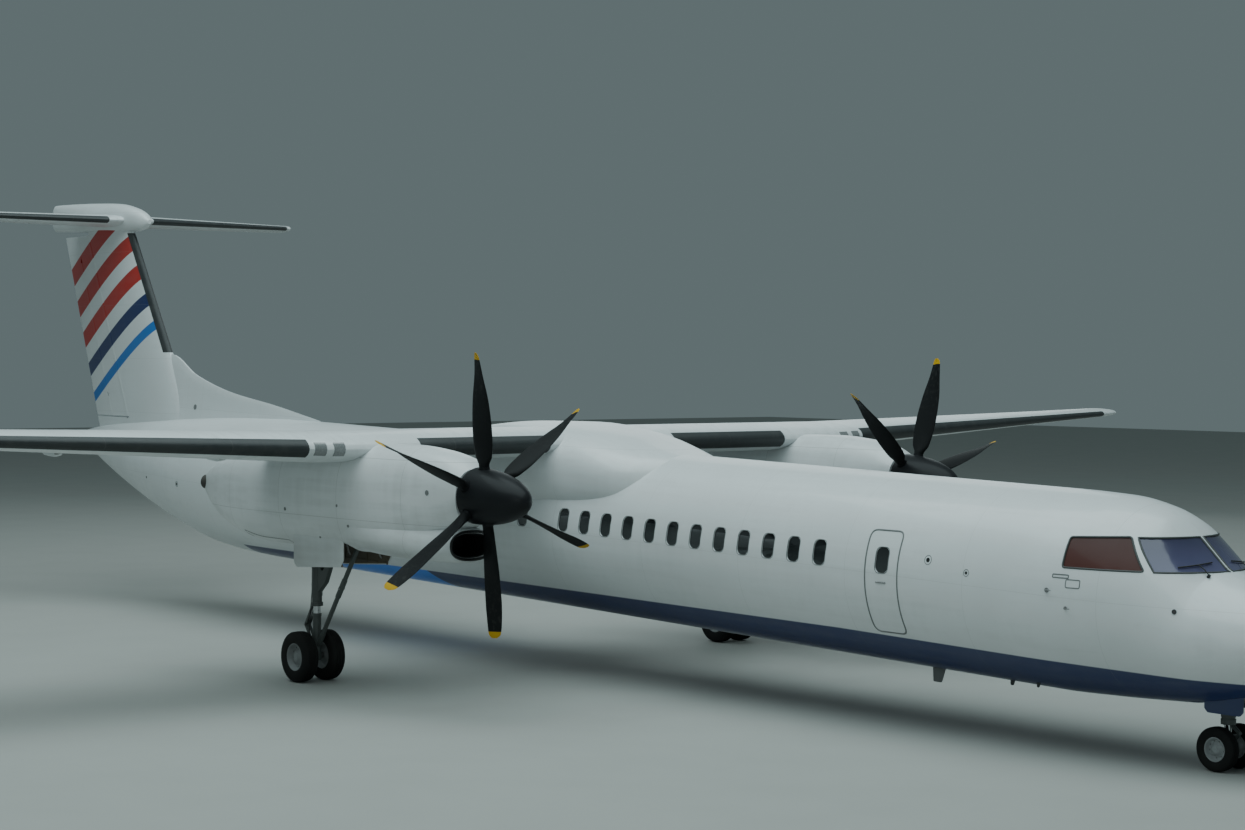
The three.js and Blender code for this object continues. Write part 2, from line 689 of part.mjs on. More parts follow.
function makeNacelle() {
  const body = loft(
    NACELLE.map(([x, halfWidth, top, bottom], i) => {
      const lean = i < 2 ? PROPELLER_TILT : 0;
      return ellipseRing(x, halfWidth, top, bottom, ENGINE_Y, NACELLE_SQUARE, lean);
    }),
  );
  const chin = loft(
    CHIN.map(([x, ...size]) => ellipseRing(x, ...size, ENGINE_Y, NACELLE_SQUARE)),
  );
  const [x, halfWidth, top, bottom] = CHIN[0];
  const middle = (top + bottom) / 2;
  const throat = loft(
    [
      [x + 10, 1],
      [x - 60, 0.98],
      [x - INTAKE.deep, INTAKE.shrink],
    ].map(([at, part]) => {
      const halfHeight = ((top - bottom) / 2 - INTAKE.lip) * part;
      const out = (halfWidth - INTAKE.lip) * part;
      const ring = [at, out, middle + halfHeight, middle - halfHeight];
      return ellipseRing(...ring, ENGINE_Y, NACELLE_SQUARE);
    }),
  );
  const { x0, x1, z0, z1 } = ENGINE;
  const wide = ENGINE.halfWidth + TOUCH;
  const bay = box(x0 - 20, x1 + 20, ENGINE_Y - wide, ENGINE_Y + wide, z0 - TOUCH, z1 + 40);
  const shaftRoom = bar([x1, ENGINE_Y, PROPELLER_Z], [5300, ENGINE_Y, PROPELLER_Z], 165);
  const wellSide = GEAR_WELL.halfWidth;
  const wellFrom = (rear, front) => {
    return box(rear, front, ENGINE_Y - wellSide, ENGINE_Y + wellSide, 1500, GEAR_WELL.top);
  };
  const inside = loft(
    NACELLE.slice(3).map(([at, half, high, low]) => {
      const size = [half - GEAR_WELL.skin, high - GEAR_WELL.skin, low + GEAR_WELL.skin];
      return ellipseRing(at, ...size, ENGINE_Y, NACELLE_SQUARE);
    }),
  );
  const rearWell = common(wellFrom(GEAR_WELL.x0, GEAR_WELL.mouth + 10), inside);
  const well = join(wellFrom(GEAR_WELL.mouth, GEAR_WELL.x1), rearWell);
  const pipe = bar(EXHAUST.from, EXHAUST.to, EXHAUST.radius, EXHAUST.radius, 14);
  const wingRoom = wingPart(ENGINE_Y - 700, WING_BREAK[0] + 200, TOUCH);
  const shell = cut(join(body, chin), throat, bay, shaftRoom, well, pipe, wingRoom);
  addPair("nacelle", shell, PAINT);

  const block = box(
    x0, x1, ENGINE_Y - ENGINE.halfWidth, ENGINE_Y + ENGINE.halfWidth, z0, z1,
  );
  const shaftEnd = hubPoint(x1 - 60 - PROPELLER_X, 1);
  const shaft = bar(shaftEnd, hubPoint(HUB.rear - TOUCH, 1), ENGINE.shaft);
  addPair("engine", join(block, shaft), STEEL);
}

// Propeller. The hub and spinner are measured along the propeller's axis from the blades' plane
const HUB = { rear: -180, front: 180, radius: 215, flange: 260 };
const SPINNER = { rear: -160, tip: 1020, radius: 408, wall: 14, round: 0.62 };
const BLADE_COUNT = 6;
// Blade. Columns: distance from the axis, chord, thickness, twist in degrees, sweep forward
const BLADE = [
  [205, 150, 150, 0, 0],
  [430, 150, 150, 0, 0],
  [560, 230, 110, 24, 5],
  [760, 330, 66, 18, 12],
  [1050, 395, 44, 11, 20],
  [1400, 400, 30, 5, 25],
  [1750, 345, 20, 0, 12],
  [2000, 225, 11, -3, -22],
  [PROPELLER_RADIUS, 70, 6, -4, -48],
];
const BLADE_POINTS = 6;
const BLADE_SHANK = 75;
// How far each propeller is turned from a blade straight up, in degrees towards port
const PARKED_TURN = { starboard: -6.66, port: 13.5 };
const tilt = Math.atan(PROPELLER_TILT);

// A point on the propeller's axis; side is 1 to port
function hubPoint(along, side) {
  return [
    PROPELLER_X + along * Math.cos(tilt),
    side * ENGINE_Y,
    PROPELLER_Z - along * Math.sin(tilt),
  ];
}

function blade() {
  return BLADE.map(([radius, chord, thickness, twist, sweep]) => {
    const turn = (twist * Math.PI) / 180;
    return Array.from({ length: BLADE_POINTS }, (_, i) => {
      const angle = (2 * Math.PI * i) / BLADE_POINTS;
      const u = (chord / 2) * Math.cos(angle);
      const v = (thickness / 2) * Math.sin(angle);
      const x = u * Math.cos(turn) - v * Math.sin(turn) + sweep;
      return new THREE.Vector3(x, u * Math.sin(turn) + v * Math.cos(turn), radius);
    });
  });
}

// Turns points round the propeller's own axis, then tilts and moves them to their place
function placePropeller(points, degrees, side) {
  const turn = new THREE.Matrix4().makeRotationX((-degrees * Math.PI) / 180);
  const lean = new THREE.Matrix4().makeRotationY(tilt);
  const place = new THREE.Matrix4().makeTranslation(...hubPoint(0, side));
  const all = place.multiply(lean).multiply(turn);
  return points.map((point) => point.clone().applyMatrix4(all));
}

function spinnerProfile(wall) {
  const steps = 5;
  const length = SPINNER.tip - SPINNER.rear - wall;
  return Array.from({ length: steps + 1 }, (_, i) => {
    const part = Math.sin((Math.PI / 2) * (i / steps));
    const radius = (SPINNER.radius - wall) * (1 - part ** 2) ** SPINNER.round;
    return new THREE.Vector2(i === steps ? 0 : radius, SPINNER.rear + part * length);
  });
}

function makePropeller(name, side) {
  const start = PARKED_TURN[name];
  const seat = SPINNER.rear - TOUCH;
  const flange = bar(hubPoint(HUB.rear, side), hubPoint(seat, side), HUB.flange, HUB.flange, 14);
  const barrel = bar(hubPoint(HUB.rear, side), hubPoint(HUB.front, side), HUB.radius, HUB.radius, 14);
  const blades = [];
  const holes = [];
  for (let i = 0; i < BLADE_COUNT; i++) {
    const degrees = start + (360 / BLADE_COUNT) * i;
    blades.push(loft(blade().map((ring) => placePropeller(ring, degrees, side))));
    const line = [new THREE.Vector3(0, 0, 150), new THREE.Vector3(0, 0, 700)];
    const [from, to] = placePropeller(line, degrees, side);
    holes.push(bar(from.toArray(), to.toArray(), BLADE_SHANK + 12, BLADE_SHANK + 12, 8));
  }
  add("propeller_" + name, join(flange, barrel, ...blades), BLACK);

  const outside = spinnerProfile(0);
  const inside = spinnerProfile(SPINNER.wall).reverse();
  const plateHole = HUB.radius + FREE;
  const profile = [
    ...inside.slice(0, -1),
    new THREE.Vector2(SPINNER.radius - SPINNER.wall, SPINNER.rear + 18),
    new THREE.Vector2(plateHole, SPINNER.rear + 18),
    new THREE.Vector2(plateHole, SPINNER.rear),
    ...outside,
  ];
  const geometry = new THREE.LatheGeometry(profile, 16);
  geometry.rotateZ(-Math.PI / 2);
  geometry.rotateY(tilt);
  geometry.translate(...hubPoint(0, side));
  add("spinner_" + name, cut(solid(geometry), ...holes), BLACK);
}

// Wheels. A pair turns on one axle; the profiles are loops of [radius, distance from the middle]
const MAIN_WHEEL = { radius: 393.5, width: 248, rim: 205, track: 490, axle: 48, sides: 24 };
const NOSE_WHEEL = { radius: 279.5, width: 165, rim: 145, track: 430, axle: 32, sides: 20 };

const AXLE_LAP = 2;

function wheelPair(name, wheel, x, y) {
  const { radius, width, rim, track, axle, sides } = wheel;
  const half = width / 2;
  const bead = rim + PIN;
  const tyre = [
    [bead, -half * 0.76],
    [rim + (radius - rim) * 0.5, -half],
    [radius - (radius - rim) * 0.1, -half * 0.8],
    [radius, -half * 0.5],
  ];
  const tyreLoop = [...tyre, ...tyre.map(([r, at]) => [r, -at]).reverse(), tyre[0]];
  const dish = half * 0.32;
  const face = [
    [axle, half * 0.5],
    [rim * 0.84, dish],
    [rim, half * 0.74],
  ];
  const rims = [];
  ["inner", "outer"].forEach((place, i) => {
    const sign = Math.sign(y) || 1;
    const at = y + sign * (i ? 1 : -1) * (track / 2);
    add(name + "_tyre_" + place, turnedOnY(tyreLoop, x, at, radius, sides), RUBBER);
    const loop = [...face, ...face.map(([r, along]) => [r, -along]).reverse(), face[0]];
    rims.push(turnedOnY(loop, x, at, radius, sides));
  });
  const reach = track / 2 + half * 0.5;
  const axleBar = bar([x, y - reach, radius], [x, y + reach, radius], axle + AXLE_LAP);
  add(name + "_wheels", join(axleBar, ...rims), GREY);
}

// Main gear door: X and Z; its top is cut to the nacelle's skin
const GEAR_DOOR = [
  [2330, 2450],
  [2330, 2000],
  [2240, 1890],
  [1030, 1815],
  [950, 1890],
  [950, 2450],
];

// Main gear, to port: leg with trunnion, gusset, brace and axle sleeve, in the nacelle's well.
// The leg stands a little ahead of the axle
const MAIN_LEG = { ahead: 110, radius: 78, piston: 58, collar: 1180, trunnion: 2620, brace: 2480 };

function makeMainGear() {
  const x = MAIN_WHEEL_X;
  const y = ENGINE_Y;
  const axleZ = MAIN_WHEEL.radius;
  const side = GEAR_WELL.halfWidth - TOUCH;
  const { collar, trunnion, brace, radius, piston } = MAIN_LEG;
  const legX = x + MAIN_LEG.ahead;
  const braceX = GEAR_WELL.x1 - 110;
  const gusset = [
    [legX, 2300],
    [legX + 450, 2300],
    [legX + 395, 1800],
    [legX + 275, 1560],
    [legX + 90, 1400],
    [legX, 1400],
  ];
  const leg = join(
    bar([legX, y, collar], [legX, y, 2700], radius),
    bar([legX, y, collar], [legX, y, collar + 60], radius + 16),
    bar([legX, y, axleZ - 40], [legX, y, collar + 30], piston),
    bar([x, y - 75, axleZ], [x, y + 75, axleZ], 90),
    box(x, legX, y - 55, y + 55, axleZ - 55, axleZ + 60),
    bar([legX, y - side, trunnion], [legX, y + side, trunnion], 85),
    plate(gusset, y - 40, y + 40),
    bar([legX + 10, y, 520], [braceX, y, brace], 42),
    bar([braceX, y - side, brace], [braceX, y + side, brace], 50),
    plate(
      [[legX - 60, 1240], [legX - 60, 1170], [legX - 260, 840], [legX - 290, 880]],
      y - 45, y + 45,
    ),
    plate(
      [[legX - 40, 520], [legX - 40, 590], [legX - 260, 900], [legX - 290, 860]],
      y - 45, y + 45,
    ),
  );
  const axleBore = bore([x, y - 90, axleZ], [x, y + 90, axleZ], MAIN_WHEEL.axle + AXLE_LAP);
  addPair("main_gear_leg", cut(leg, axleBore), GREY);
  for (const [name, end] of [["outer", 1], ["inner", -1]]) {
    const at = y + end * (GEAR_WELL.halfWidth + 25);
    const outside = cut(
      plate(GEAR_DOOR, at - 12, at + 12),
      loft(NACELLE.slice(3, 9).map(([along, ...size]) =>
        ellipseRing(along, size[0] + TOUCH, size[1], size[2] - TOUCH, y, NACELLE_SQUARE))),
    );
    addPair("main_gear_door_" + name, largest(outside), PAINT);
  }
  wheelPair("main_port", MAIN_WHEEL, x, y);
  wheelPair("main_starboard", MAIN_WHEEL, x, -y);
}

// Nose gear: upper leg fixed in the well, lower leg turned by the steering
const NOSE_LEG = { collar: 640, upper: 85, lower: 60, spigot: 50, top: 1250 };
const NOSE_DOOR = { rear: 14660, front: 15230, top: 1000, bottom: 740, corner: 50 };

function makeNoseGear() {
  const x = NOSE_WHEEL_X;
  const axleZ = NOSE_WHEEL.radius;
  const side = WELL.halfWidth - TOUCH;
  const braceX = WELL.x0 + 90;
  const upper = join(
    bar([x, 0, NOSE_LEG.collar], [x, 0, NOSE_LEG.top], NOSE_LEG.upper),
    bar([x, -side, 1180], [x, side, 1180], 60),
    bar([x - 30, 0, 760], [braceX + 8, 0, 1146], 34, 34, 8),
    bar([braceX, -side, 1150], [braceX, side, 1150], 44),
  );
  const { collar, spigot } = NOSE_LEG;
  const spigotRoom = bore([x, 0, collar - 30], [x, 0, collar + 200], spigot, 12);
  add("nose_gear_upper_leg", cut(upper, spigotRoom), GREY);
  const lower = join(
    bar([x, 0, collar - 70], [x, 0, collar - PIN], 95),
    bar([x, 0, axleZ + 20], [x, 0, collar - 40], NOSE_LEG.lower),
    bar([x, 0, collar - 40], [x, 0, collar + 190], spigot, spigot, 12),
    bar([x, -60, axleZ], [x, 60, axleZ], 62),
    plate([[x + 40, 600], [x + 40, 560], [x + 165, 455], [x + 185, 475]], -30, 30),
    plate([[x + 40, 300], [x + 40, 350], [x + 165, 485], [x + 185, 465]], -30, 30),
  );
  const axleBore = bore([x, -80, axleZ], [x, 80, axleZ], NOSE_WHEEL.axle + AXLE_LAP);
  add("nose_gear_lower_leg", cut(lower, axleBore), GREY);
  const skin = bodyPart(NOSE_X - 900, JOINT.cockpit + 300, -TOUCH);
  const { rear, front, top, bottom, corner } = NOSE_DOOR;
  const outline = [
    [front, top],
    [front, bottom + corner],
    [front - corner, bottom],
    [rear + corner, bottom],
    [rear, bottom + corner],
    [rear, top],
  ];
  const leaf = plate(outline, WELL.halfWidth + 4, WELL.halfWidth + 26);
  const door = cut(leaf, skin, mirrored(skin));
  addPair("nose_gear_door", largest(door), NAVY);
  wheelPair("nose", NOSE_WHEEL, x, 0);
}

// The largest of a solid's separate bodies
function largest(body) {
  return body.decompose().reduce((best, piece) => (piece.volume() > best.volume() ? piece : best));
}

// Fin. Columns: Z, leading edge X, trailing edge X
const FIN_THICK = 0.1;
const FIN = [
  [3300, -10180, -14288],
  [7700, -12942, -15964],
];
const RUDDER = { z0: 3780, z1: 7620, fore: 0.6, rear: 0.8, degrees: 18, endGap: 28 };
// Dorsal fin crest. Columns: X, top Z, half width at the foot
const DORSAL_FOOT = 3500;
const DORSAL = [
  [-5765, 3840, 60],
  [-7400, 4110, 110],
  [-9015, 4340, 140],
  [-10300, 4660, 165],
  [-11300, 5080, 185],
  [-12100, 5080, 185],
];

// The crest narrows from its foot to a rounded top
function crestRing([x, top, half]) {
  const points = [
    [1, 0],
    [0.5, 0.5],
    [0.28, 0.86],
    [0.12, 1],
  ];
  const ring = [...points, ...points.map(([out, up]) => [-out, up]).reverse()];
  return ring.map(([out, up]) => {
    return new THREE.Vector3(x, out * half, DORSAL_FOOT + up * (top - DORSAL_FOOT));
  });
}

function finRing(z) {
  const [low, high] = FIN;
  const share = (z - low[0]) / (high[0] - low[0]);
  const lead = low[1] + share * (high[1] - low[1]);
  const chord = lead - (low[2] + share * (high[2] - low[2]));
  return { lead, chord, z };
}

function finPart(z0, z1) {
  return loft([z0, z1].map((z) => {
    const { lead, chord } = finRing(z);
    return aerofoil(FIN_THICK, 0).map(({ along, up }) => {
      return new THREE.Vector3(lead - along * chord, up * chord, z);
    });
  }));
}

function onFin(z, part) {
  const { lead, chord } = finRing(z);
  return [lead - part * chord, 0, z];
}

const rudderLine = (part) => [onFin(RUDDER.z0, part), onFin(RUDDER.z1, part)];

function finHalfThick(z, part) {
  return finRing(z).chord * foilHalf(FIN_THICK, part);
}

function rudderZone(part, ahead, ends) {
  const [low, high] = [onFin(RUDDER.z0, part), onFin(RUDDER.z1, part)];
  const outline = [
    [low[0] + ahead, RUDDER.z0 - ends],
    [high[0] + ahead, RUDDER.z1 + ends],
    [-17500, RUDDER.z1 + ends],
    [-17500, RUDDER.z0 - ends],
  ];
  return plate(outline, -600, 600);
}

// The trailing rudder's hinges: lugs on the fore rudder, with pins, and the slots round them
const REAR_HINGES = [500, 3600];

function rearHinge(line, at) {
  const start = new THREE.Vector3(...line[0]);
  const run = new THREE.Vector3(...line[1]).sub(start).normalize();
  const { x, z } = start.addScaledVector(run, at);
  const lug = join(pinAlong(...line, at, 50, 22), bar([x, 0, z], [x + 170, 0, z], 14, 14, 8));
  const slot = box(x - 34, x + 200, -200, 200, z - 42, z + 42);
  return { lug: join(lug, pinAlong(...line, at, 150, PIN_RADIUS)), slot };
}

function makeFin() {
  const bulletRoom = loft(bulletRings(TOUCH));
  const radii = (part) => [RUDDER.z0, RUDDER.z1].map((z) => finHalfThick(z, part));
  const [foreLine, rearLine] = [rudderLine(RUDDER.fore), rudderLine(RUDDER.rear)];
  const [foreRadii, rearRadii] = [radii(RUDDER.fore), radii(RUDDER.rear)];
  const foreSweep = sine(RUDDER.degrees) * foreRadii[0] + FREE;
  const rearSweep = sine(RUDDER.degrees) * rearRadii[0] + FREE;

  const crest = loft(DORSAL.map(crestRing));
  const whole = join(finPart(3300, 7980), crest);
  const fixed = cut(
    whole,
    rudderZone(RUDDER.fore, foreSweep, RUDDER.endGap),
    roundNose(...foreLine, ...foreRadii, FREE, RUDDER.endGap),
    bodyPart(-4000, JOINT.end + 1, -TOUCH),
    bulletRoom,
    box(-16500, onFin(7700, RUDDER.fore)[0] + 60, -400, 400, 7600, 8100),
  );
  const finPins = endPins(...foreLine);
  add("fin", join(largest(fixed), finPins[0]), PAINT);

  const skin = finPart(RUDDER.z0, RUDDER.z1);
  const between = box(-17500, -11000, -600, 600, RUDDER.z0, RUDDER.z1);
  const surface = (part, ends, endRadii) => {
    const rear = common(skin, rudderZone(part, 0, 0));
    return common(join(rear, roundNose(...ends, ...endRadii, 0, 0)), between);
  };
  const hinges = REAR_HINGES.map((at) => rearHinge(rearLine, at));
  const fore = cut(
    surface(RUDDER.fore, foreLine, foreRadii),
    rudderZone(RUDDER.rear, rearSweep, FREE),
    roundNose(...rearLine, ...rearRadii, FREE, FREE),
    ...endPins(...foreLine, 120, bore),
  );
  add("rudder_fore", join(fore, ...hinges.map(({ lug }) => lug)), PAINT);
  const bores = REAR_HINGES.map((at) => pinAlong(...rearLine, at, 170, PIN_RADIUS, bore));
  const slots = hinges.map(({ slot }) => slot);
  add("rudder_rear", cut(surface(RUDDER.rear, rearLine, rearRadii), ...slots, ...bores), PAINT);
}

// Bullet fairing on top of the fin. Columns: X, half width, top and bottom Z
const BULLET = [
  [-12240, 40, 7870, 7790],
  [-12400, 130, 8000, 7700],
  [-12800, 205, 8140, 7650],
  [-13400, 240, 8250, 7650],
  [-14300, 240, 8300, 7680],
  [-15300, 200, 8330, 7720],
  [-16000, 150, HEIGHT, 7750],
  [TAIL_X + 60, 110, HEIGHT, 7765],
  [TAIL_X, 60, HEIGHT - 60, 7830],
];

function bulletRings(grow) {
  return BULLET.map(([x, halfWidth, top, bottom]) => {
    return ellipseRing(x, halfWidth + grow, top + grow, bottom - grow, 0, 0.85);
  });
}

// Tailplane. Columns: Y, leading edge X, Z, trailing edge X
const TAIL_THICK = 0.11;
const TAIL_HALF_SPAN = 4635;
const TAILPLANE = [
  [0, -12860, 7885, -15180],
  [4560, -14010, 7925, -15400],
  [TAIL_HALF_SPAN, -14130, 7925, -15330],
];
const ELEVATOR = { y0: 330, y1: 4400, part: 0.62, degrees: 25 };

function tailplaneAt(y) {
  const next = Math.max(1, TAILPLANE.findIndex((row) => row[0] >= Math.abs(y)));
  const [before, after] = [TAILPLANE[next - 1], TAILPLANE[next]];
  const share = (Math.abs(y) - before[0]) / (after[0] - before[0]);
  return [y, ...before.slice(1).map((value, i) => value + share * (after[i + 1] - value))];
}

function tailplanePart(y0, y1, grow = 0) {
  const between = TAILPLANE.filter(([y]) => y > y0 + 1 && y < y1 - 1);
  return loft([tailplaneAt(y0), ...between, tailplaneAt(y1)].map(([y, lead, z, trail]) => {
    const chord = lead - trail;
    return aerofoil(TAIL_THICK, 0).map(({ along, up, side }) => {
      const x = lead - along * chord + grow * (1 - 2 * along);
      return new THREE.Vector3(x, y, z + up * chord + side * grow);
    });
  }));
}

function onTailplane(y, part) {
  const [, lead, z, trail] = tailplaneAt(y);
  return [lead - part * (lead - trail), y, z];
}

function elevatorZone(line, ahead, ends) {
  const [inner, outer] = line;
  const corners = [
    [inner[0] + ahead, ELEVATOR.y0 - ends],
    [outer[0] + ahead, ELEVATOR.y1 + ends],
    [-17500, ELEVATOR.y1 + ends],
    [-17500, ELEVATOR.y0 - ends],
  ];
  return slab(corners, 7400, 8500);
}

function makeTailplane() {
  const bulletRoom = loft(bulletRings(TOUCH));
  const line = [ELEVATOR.y0, ELEVATOR.y1].map((y) => onTailplane(y, ELEVATOR.part));
  const radii = [ELEVATOR.y0, ELEVATOR.y1].map((y) => {
    const [, lead, , trail] = tailplaneAt(y);
    return (lead - trail) * foilHalf(TAIL_THICK, ELEVATOR.part);
  });
  const sweep = sine(ELEVATOR.degrees) * radii[0] + FREE;
  const half = cut(
    tailplanePart(0, TAIL_HALF_SPAN),
    elevatorZone(line, sweep, FREE),
    roundNose(...line, ...radii, FREE, FREE),
  );
  const held = join(half, ...endPins(...line));
  const rear = common(tailplanePart(ELEVATOR.y0, ELEVATOR.y1), elevatorZone(line, 0, 0));
  const elevator = cut(join(rear, roundNose(...line, ...radii, 0, 0)), ...endPins(...line, 120, bore));
  add("tailplane", join(held, mirrored(held)), PAINT);
  addPair("elevator", elevator, PAINT);
  const room = join(tailplanePart(0, 700, TOUCH), mirrored(tailplanePart(0, 700, TOUCH)));
  const [low, high] = rudderLine(RUDDER.fore);
  const span = new THREE.Vector3(...low).distanceTo(new THREE.Vector3(...high));
  const rudderPin = pinAlong(low, high, span + 40, 170, PIN_RADIUS);
  add("bullet_fairing", join(cut(loft(bulletRings(0)), room), rudderPin), PAINT);
}

makeWing();
makeFuselage();
makeNacelle();
makePropeller("port", 1);
makePropeller("starboard", -1);
makeMainGear();
makeNoseGear();
makeTailplane();
makeFin();

export default airliner;
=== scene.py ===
# %% [markdown]
# # A twin-engined turboprop airliner
# This lesson dresses a plain solid model of a regional airliner: smooth skins, painted
# panels, rubber de-icing boots, propeller blades, tyres and cockpit glass. The solids are
# already loaded in their real places, in metres: +X is forward, +Y is to port, +Z is up and
# the ground is at zero. We start by loading them.

# %% Load the solid model
import math
from contextlib import contextmanager
import bpy
from mathutils import Matrix, Vector


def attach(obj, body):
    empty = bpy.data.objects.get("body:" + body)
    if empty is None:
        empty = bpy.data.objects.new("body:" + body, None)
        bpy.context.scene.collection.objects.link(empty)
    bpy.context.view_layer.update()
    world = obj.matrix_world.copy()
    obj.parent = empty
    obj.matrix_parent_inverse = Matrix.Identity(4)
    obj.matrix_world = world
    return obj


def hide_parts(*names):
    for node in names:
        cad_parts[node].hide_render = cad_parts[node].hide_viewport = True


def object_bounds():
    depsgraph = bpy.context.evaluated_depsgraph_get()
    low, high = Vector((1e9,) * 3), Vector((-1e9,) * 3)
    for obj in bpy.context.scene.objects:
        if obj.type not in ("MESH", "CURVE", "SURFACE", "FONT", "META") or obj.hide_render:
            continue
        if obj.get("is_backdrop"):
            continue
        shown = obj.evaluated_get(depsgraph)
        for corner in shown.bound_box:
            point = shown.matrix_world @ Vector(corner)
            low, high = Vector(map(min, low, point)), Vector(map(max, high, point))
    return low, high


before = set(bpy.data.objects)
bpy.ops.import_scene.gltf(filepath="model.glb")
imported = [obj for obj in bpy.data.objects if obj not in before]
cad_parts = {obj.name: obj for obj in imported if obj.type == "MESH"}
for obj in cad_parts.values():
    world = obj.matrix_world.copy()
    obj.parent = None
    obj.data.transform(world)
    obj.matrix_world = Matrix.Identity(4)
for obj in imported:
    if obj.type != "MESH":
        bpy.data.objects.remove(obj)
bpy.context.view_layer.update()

# %% [markdown]
# The camera stands where the photographer stood: a solved position beyond the nose on the
# starboard side, five metres up, looking back along the fuselage through a long lens. It is
# turned about its own line of sight by a third of a degree, as a hand-held camera is.

# %% Camera
CAMERA_PLACE = Vector((32.999, -25.185, 5.075))
CAMERA_TURN, CAMERA_DOWN, CAMERA_ROLL = 49.925, 1.358, 0.323
FOCAL_PIXELS, PHOTO_WIDTH, SENSOR = 2441.38, 1245, 36.0

bpy.ops.object.camera_add(location=CAMERA_PLACE)
camera = bpy.context.object
camera.name = "camera"
turn, down, roll = (math.radians(v) for v in (CAMERA_TURN, CAMERA_DOWN, CAMERA_ROLL))
ahead = Vector((-math.sin(turn) * math.cos(down), math.cos(turn) * math.cos(down),
                -math.sin(down)))
right = Vector((math.cos(turn), math.sin(turn), 0))
upward = right.cross(ahead)
tilted_right = math.cos(roll) * right + math.sin(roll) * upward
tilted_up = -math.sin(roll) * right + math.cos(roll) * upward
camera.rotation_euler = Matrix((tilted_right, tilted_up, -ahead)).transposed().to_euler()
camera.data.sensor_width = SENSOR
camera.data.lens = FOCAL_PIXELS / PHOTO_WIDTH * SENSOR
camera.data.clip_start, camera.data.clip_end = 0.5, 500
bpy.context.scene.camera = camera
print("lens", round(camera.data.lens, 1), "mm")

# %% [markdown]
# Light. The airliner stands under a flat grey sky, so one very large soft lamp overhead gives
# the pale tops and the slowly darkening sides, and two weaker ones open up the shade below
# the wing. The floor is plain, pale and a little rough, like clean concrete without marks.

# %% Floor and lights
for name, place, aim, size, watts, color in (
    ("sky", (4, -6, 34), (0, 0, 0), 44, 15000, (0.81, 0.985, 1.0)),
    ("side_fill", (30, -36, 14), (2, 0, 2), 22, 1400, (0.88, 1.0, 0.98)),
    ("far_fill", (-26, 30, 14), (-2, 0, 3), 22, 1400, (0.87, 0.99, 1.0)),
):
    bpy.ops.object.light_add(type="AREA", location=place)
    lamp = bpy.context.object
    lamp.name = name
    lamp.data.size, lamp.data.energy, lamp.data.color = size, watts, color
    lamp.rotation_euler = (Vector(aim) - Vector(place)).to_track_quat("-Z", "Y").to_euler()

world = bpy.data.worlds.new("overcast")
bpy.context.scene.world = world
world.use_nodes = True
world.node_tree.nodes["Background"].inputs["Color"].default_value = (0.50, 0.66, 0.68, 1)
world.node_tree.nodes["Background"].inputs["Strength"].default_value = 0.24

bpy.ops.mesh.primitive_plane_add(size=240, location=(0, 0, 0))
floor = bpy.context.object
floor.name = "floor"
floor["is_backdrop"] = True
print("three lamps and a floor")

# %% [markdown]
# Materials are built from nodes, and every one reads the piece's own object coordinates,
# which are metres on the airliner, so a rivet row or a streak keeps its real size on every
# piece. A signal is the output of a node. Writing sums and products of signals adds the
# nodes that work them out. The shader itself, with its plain numbers, stays in each material.

# %% Node helpers
def add_node(tree, kind, inputs, output=0, **settings):
    """Adds a node and gives its output. Each input is a signal or a plain value."""
    node = tree.nodes.new("ShaderNode" + kind)
    for key, value in settings.items():
        setattr(node, key, value)
    for key, value in inputs.items():
        if isinstance(value, Signal):
            value.to(node.inputs[key])
        else:
            node.inputs[key].default_value = value
    return Signal(tree, node.outputs[output])


class Signal:
    """A number, colour or place that comes out of a node."""

    def __init__(self, tree, socket):
        self.tree, self.socket = tree, socket

    def to(self, socket):
        self.tree.links.new(self.socket, socket)

    def calc(self, operation, other=0.0):
        return add_node(self.tree, "Math", {0: self, 1: other}, operation=operation)

    def __add__(self, other):
        return self.calc("ADD", other)

    def __sub__(self, other):
        return self.calc("SUBTRACT", other)

    def __mul__(self, other):
        return self.calc("MULTIPLY", other)

    def __gt__(self, other):
        return self.calc("GREATER_THAN", other)

    def peak(self, other):
        """The higher of two signals."""
        return self.calc("MAXIMUM", other)

    def remap(self, low, high, new_low=0.0, new_high=1.0):
        """The share of the way from low to high, laid between two new values."""
        return add_node(self.tree, "MapRange", {0: self, 1: low, 2: high, 3: new_low, 4: new_high})

    def mix(self, a, b):
        """Colour a where the signal is 0 and colour b where it is 1."""
        inputs = {"Factor": self, "A": a, "B": b}
        return add_node(self.tree, "Mix", inputs, "Result", data_type="RGBA")


def place_of(tree, stretch=None):
    here = add_node(tree, "TexCoord", {}, "Object")
    return add_node(tree, "Mapping", {"Scale": stretch, "Vector": here}) if stretch else here


def noise(tree, scale, detail=3.0, stretch=None):
    inputs = {"Vector": place_of(tree, stretch), "Scale": scale, "Detail": detail}
    return add_node(tree, "TexNoise", inputs, "Fac")


def coordinates(tree):
    """X, Y and Z of the place, as three signals."""
    first = add_node(tree, "SeparateXYZ", {0: place_of(tree)})
    return [Signal(tree, socket) for socket in first.socket.node.outputs]


def new_group(name, inputs, outputs):
    """A node group of plain numbers, its inputs as signals and the sockets of its outputs."""
    group = bpy.data.node_groups.new(name, "ShaderNodeTree")
    for label in (*inputs, *outputs):
        way = "INPUT" if label in inputs else "OUTPUT"
        socket = group.interface.new_socket(name=label, in_out=way, socket_type="NodeSocketFloat")
        socket.default_value = inputs.get(label, 0.0)
    start, end = group.nodes.new("NodeGroupInput"), group.nodes.new("NodeGroupOutput")
    return group, [Signal(group, start.outputs[label]) for label in inputs], end.inputs


print("node helpers ready")

# %% [markdown]
# Weather: the film of dirt on every outside surface. Rain and the airflow draw it out into
# long thin streaks from front to back, with fainter runs down the sides, over soft cloudy
# patches. One group makes one mask of it, and every painted or rubber finish uses it.

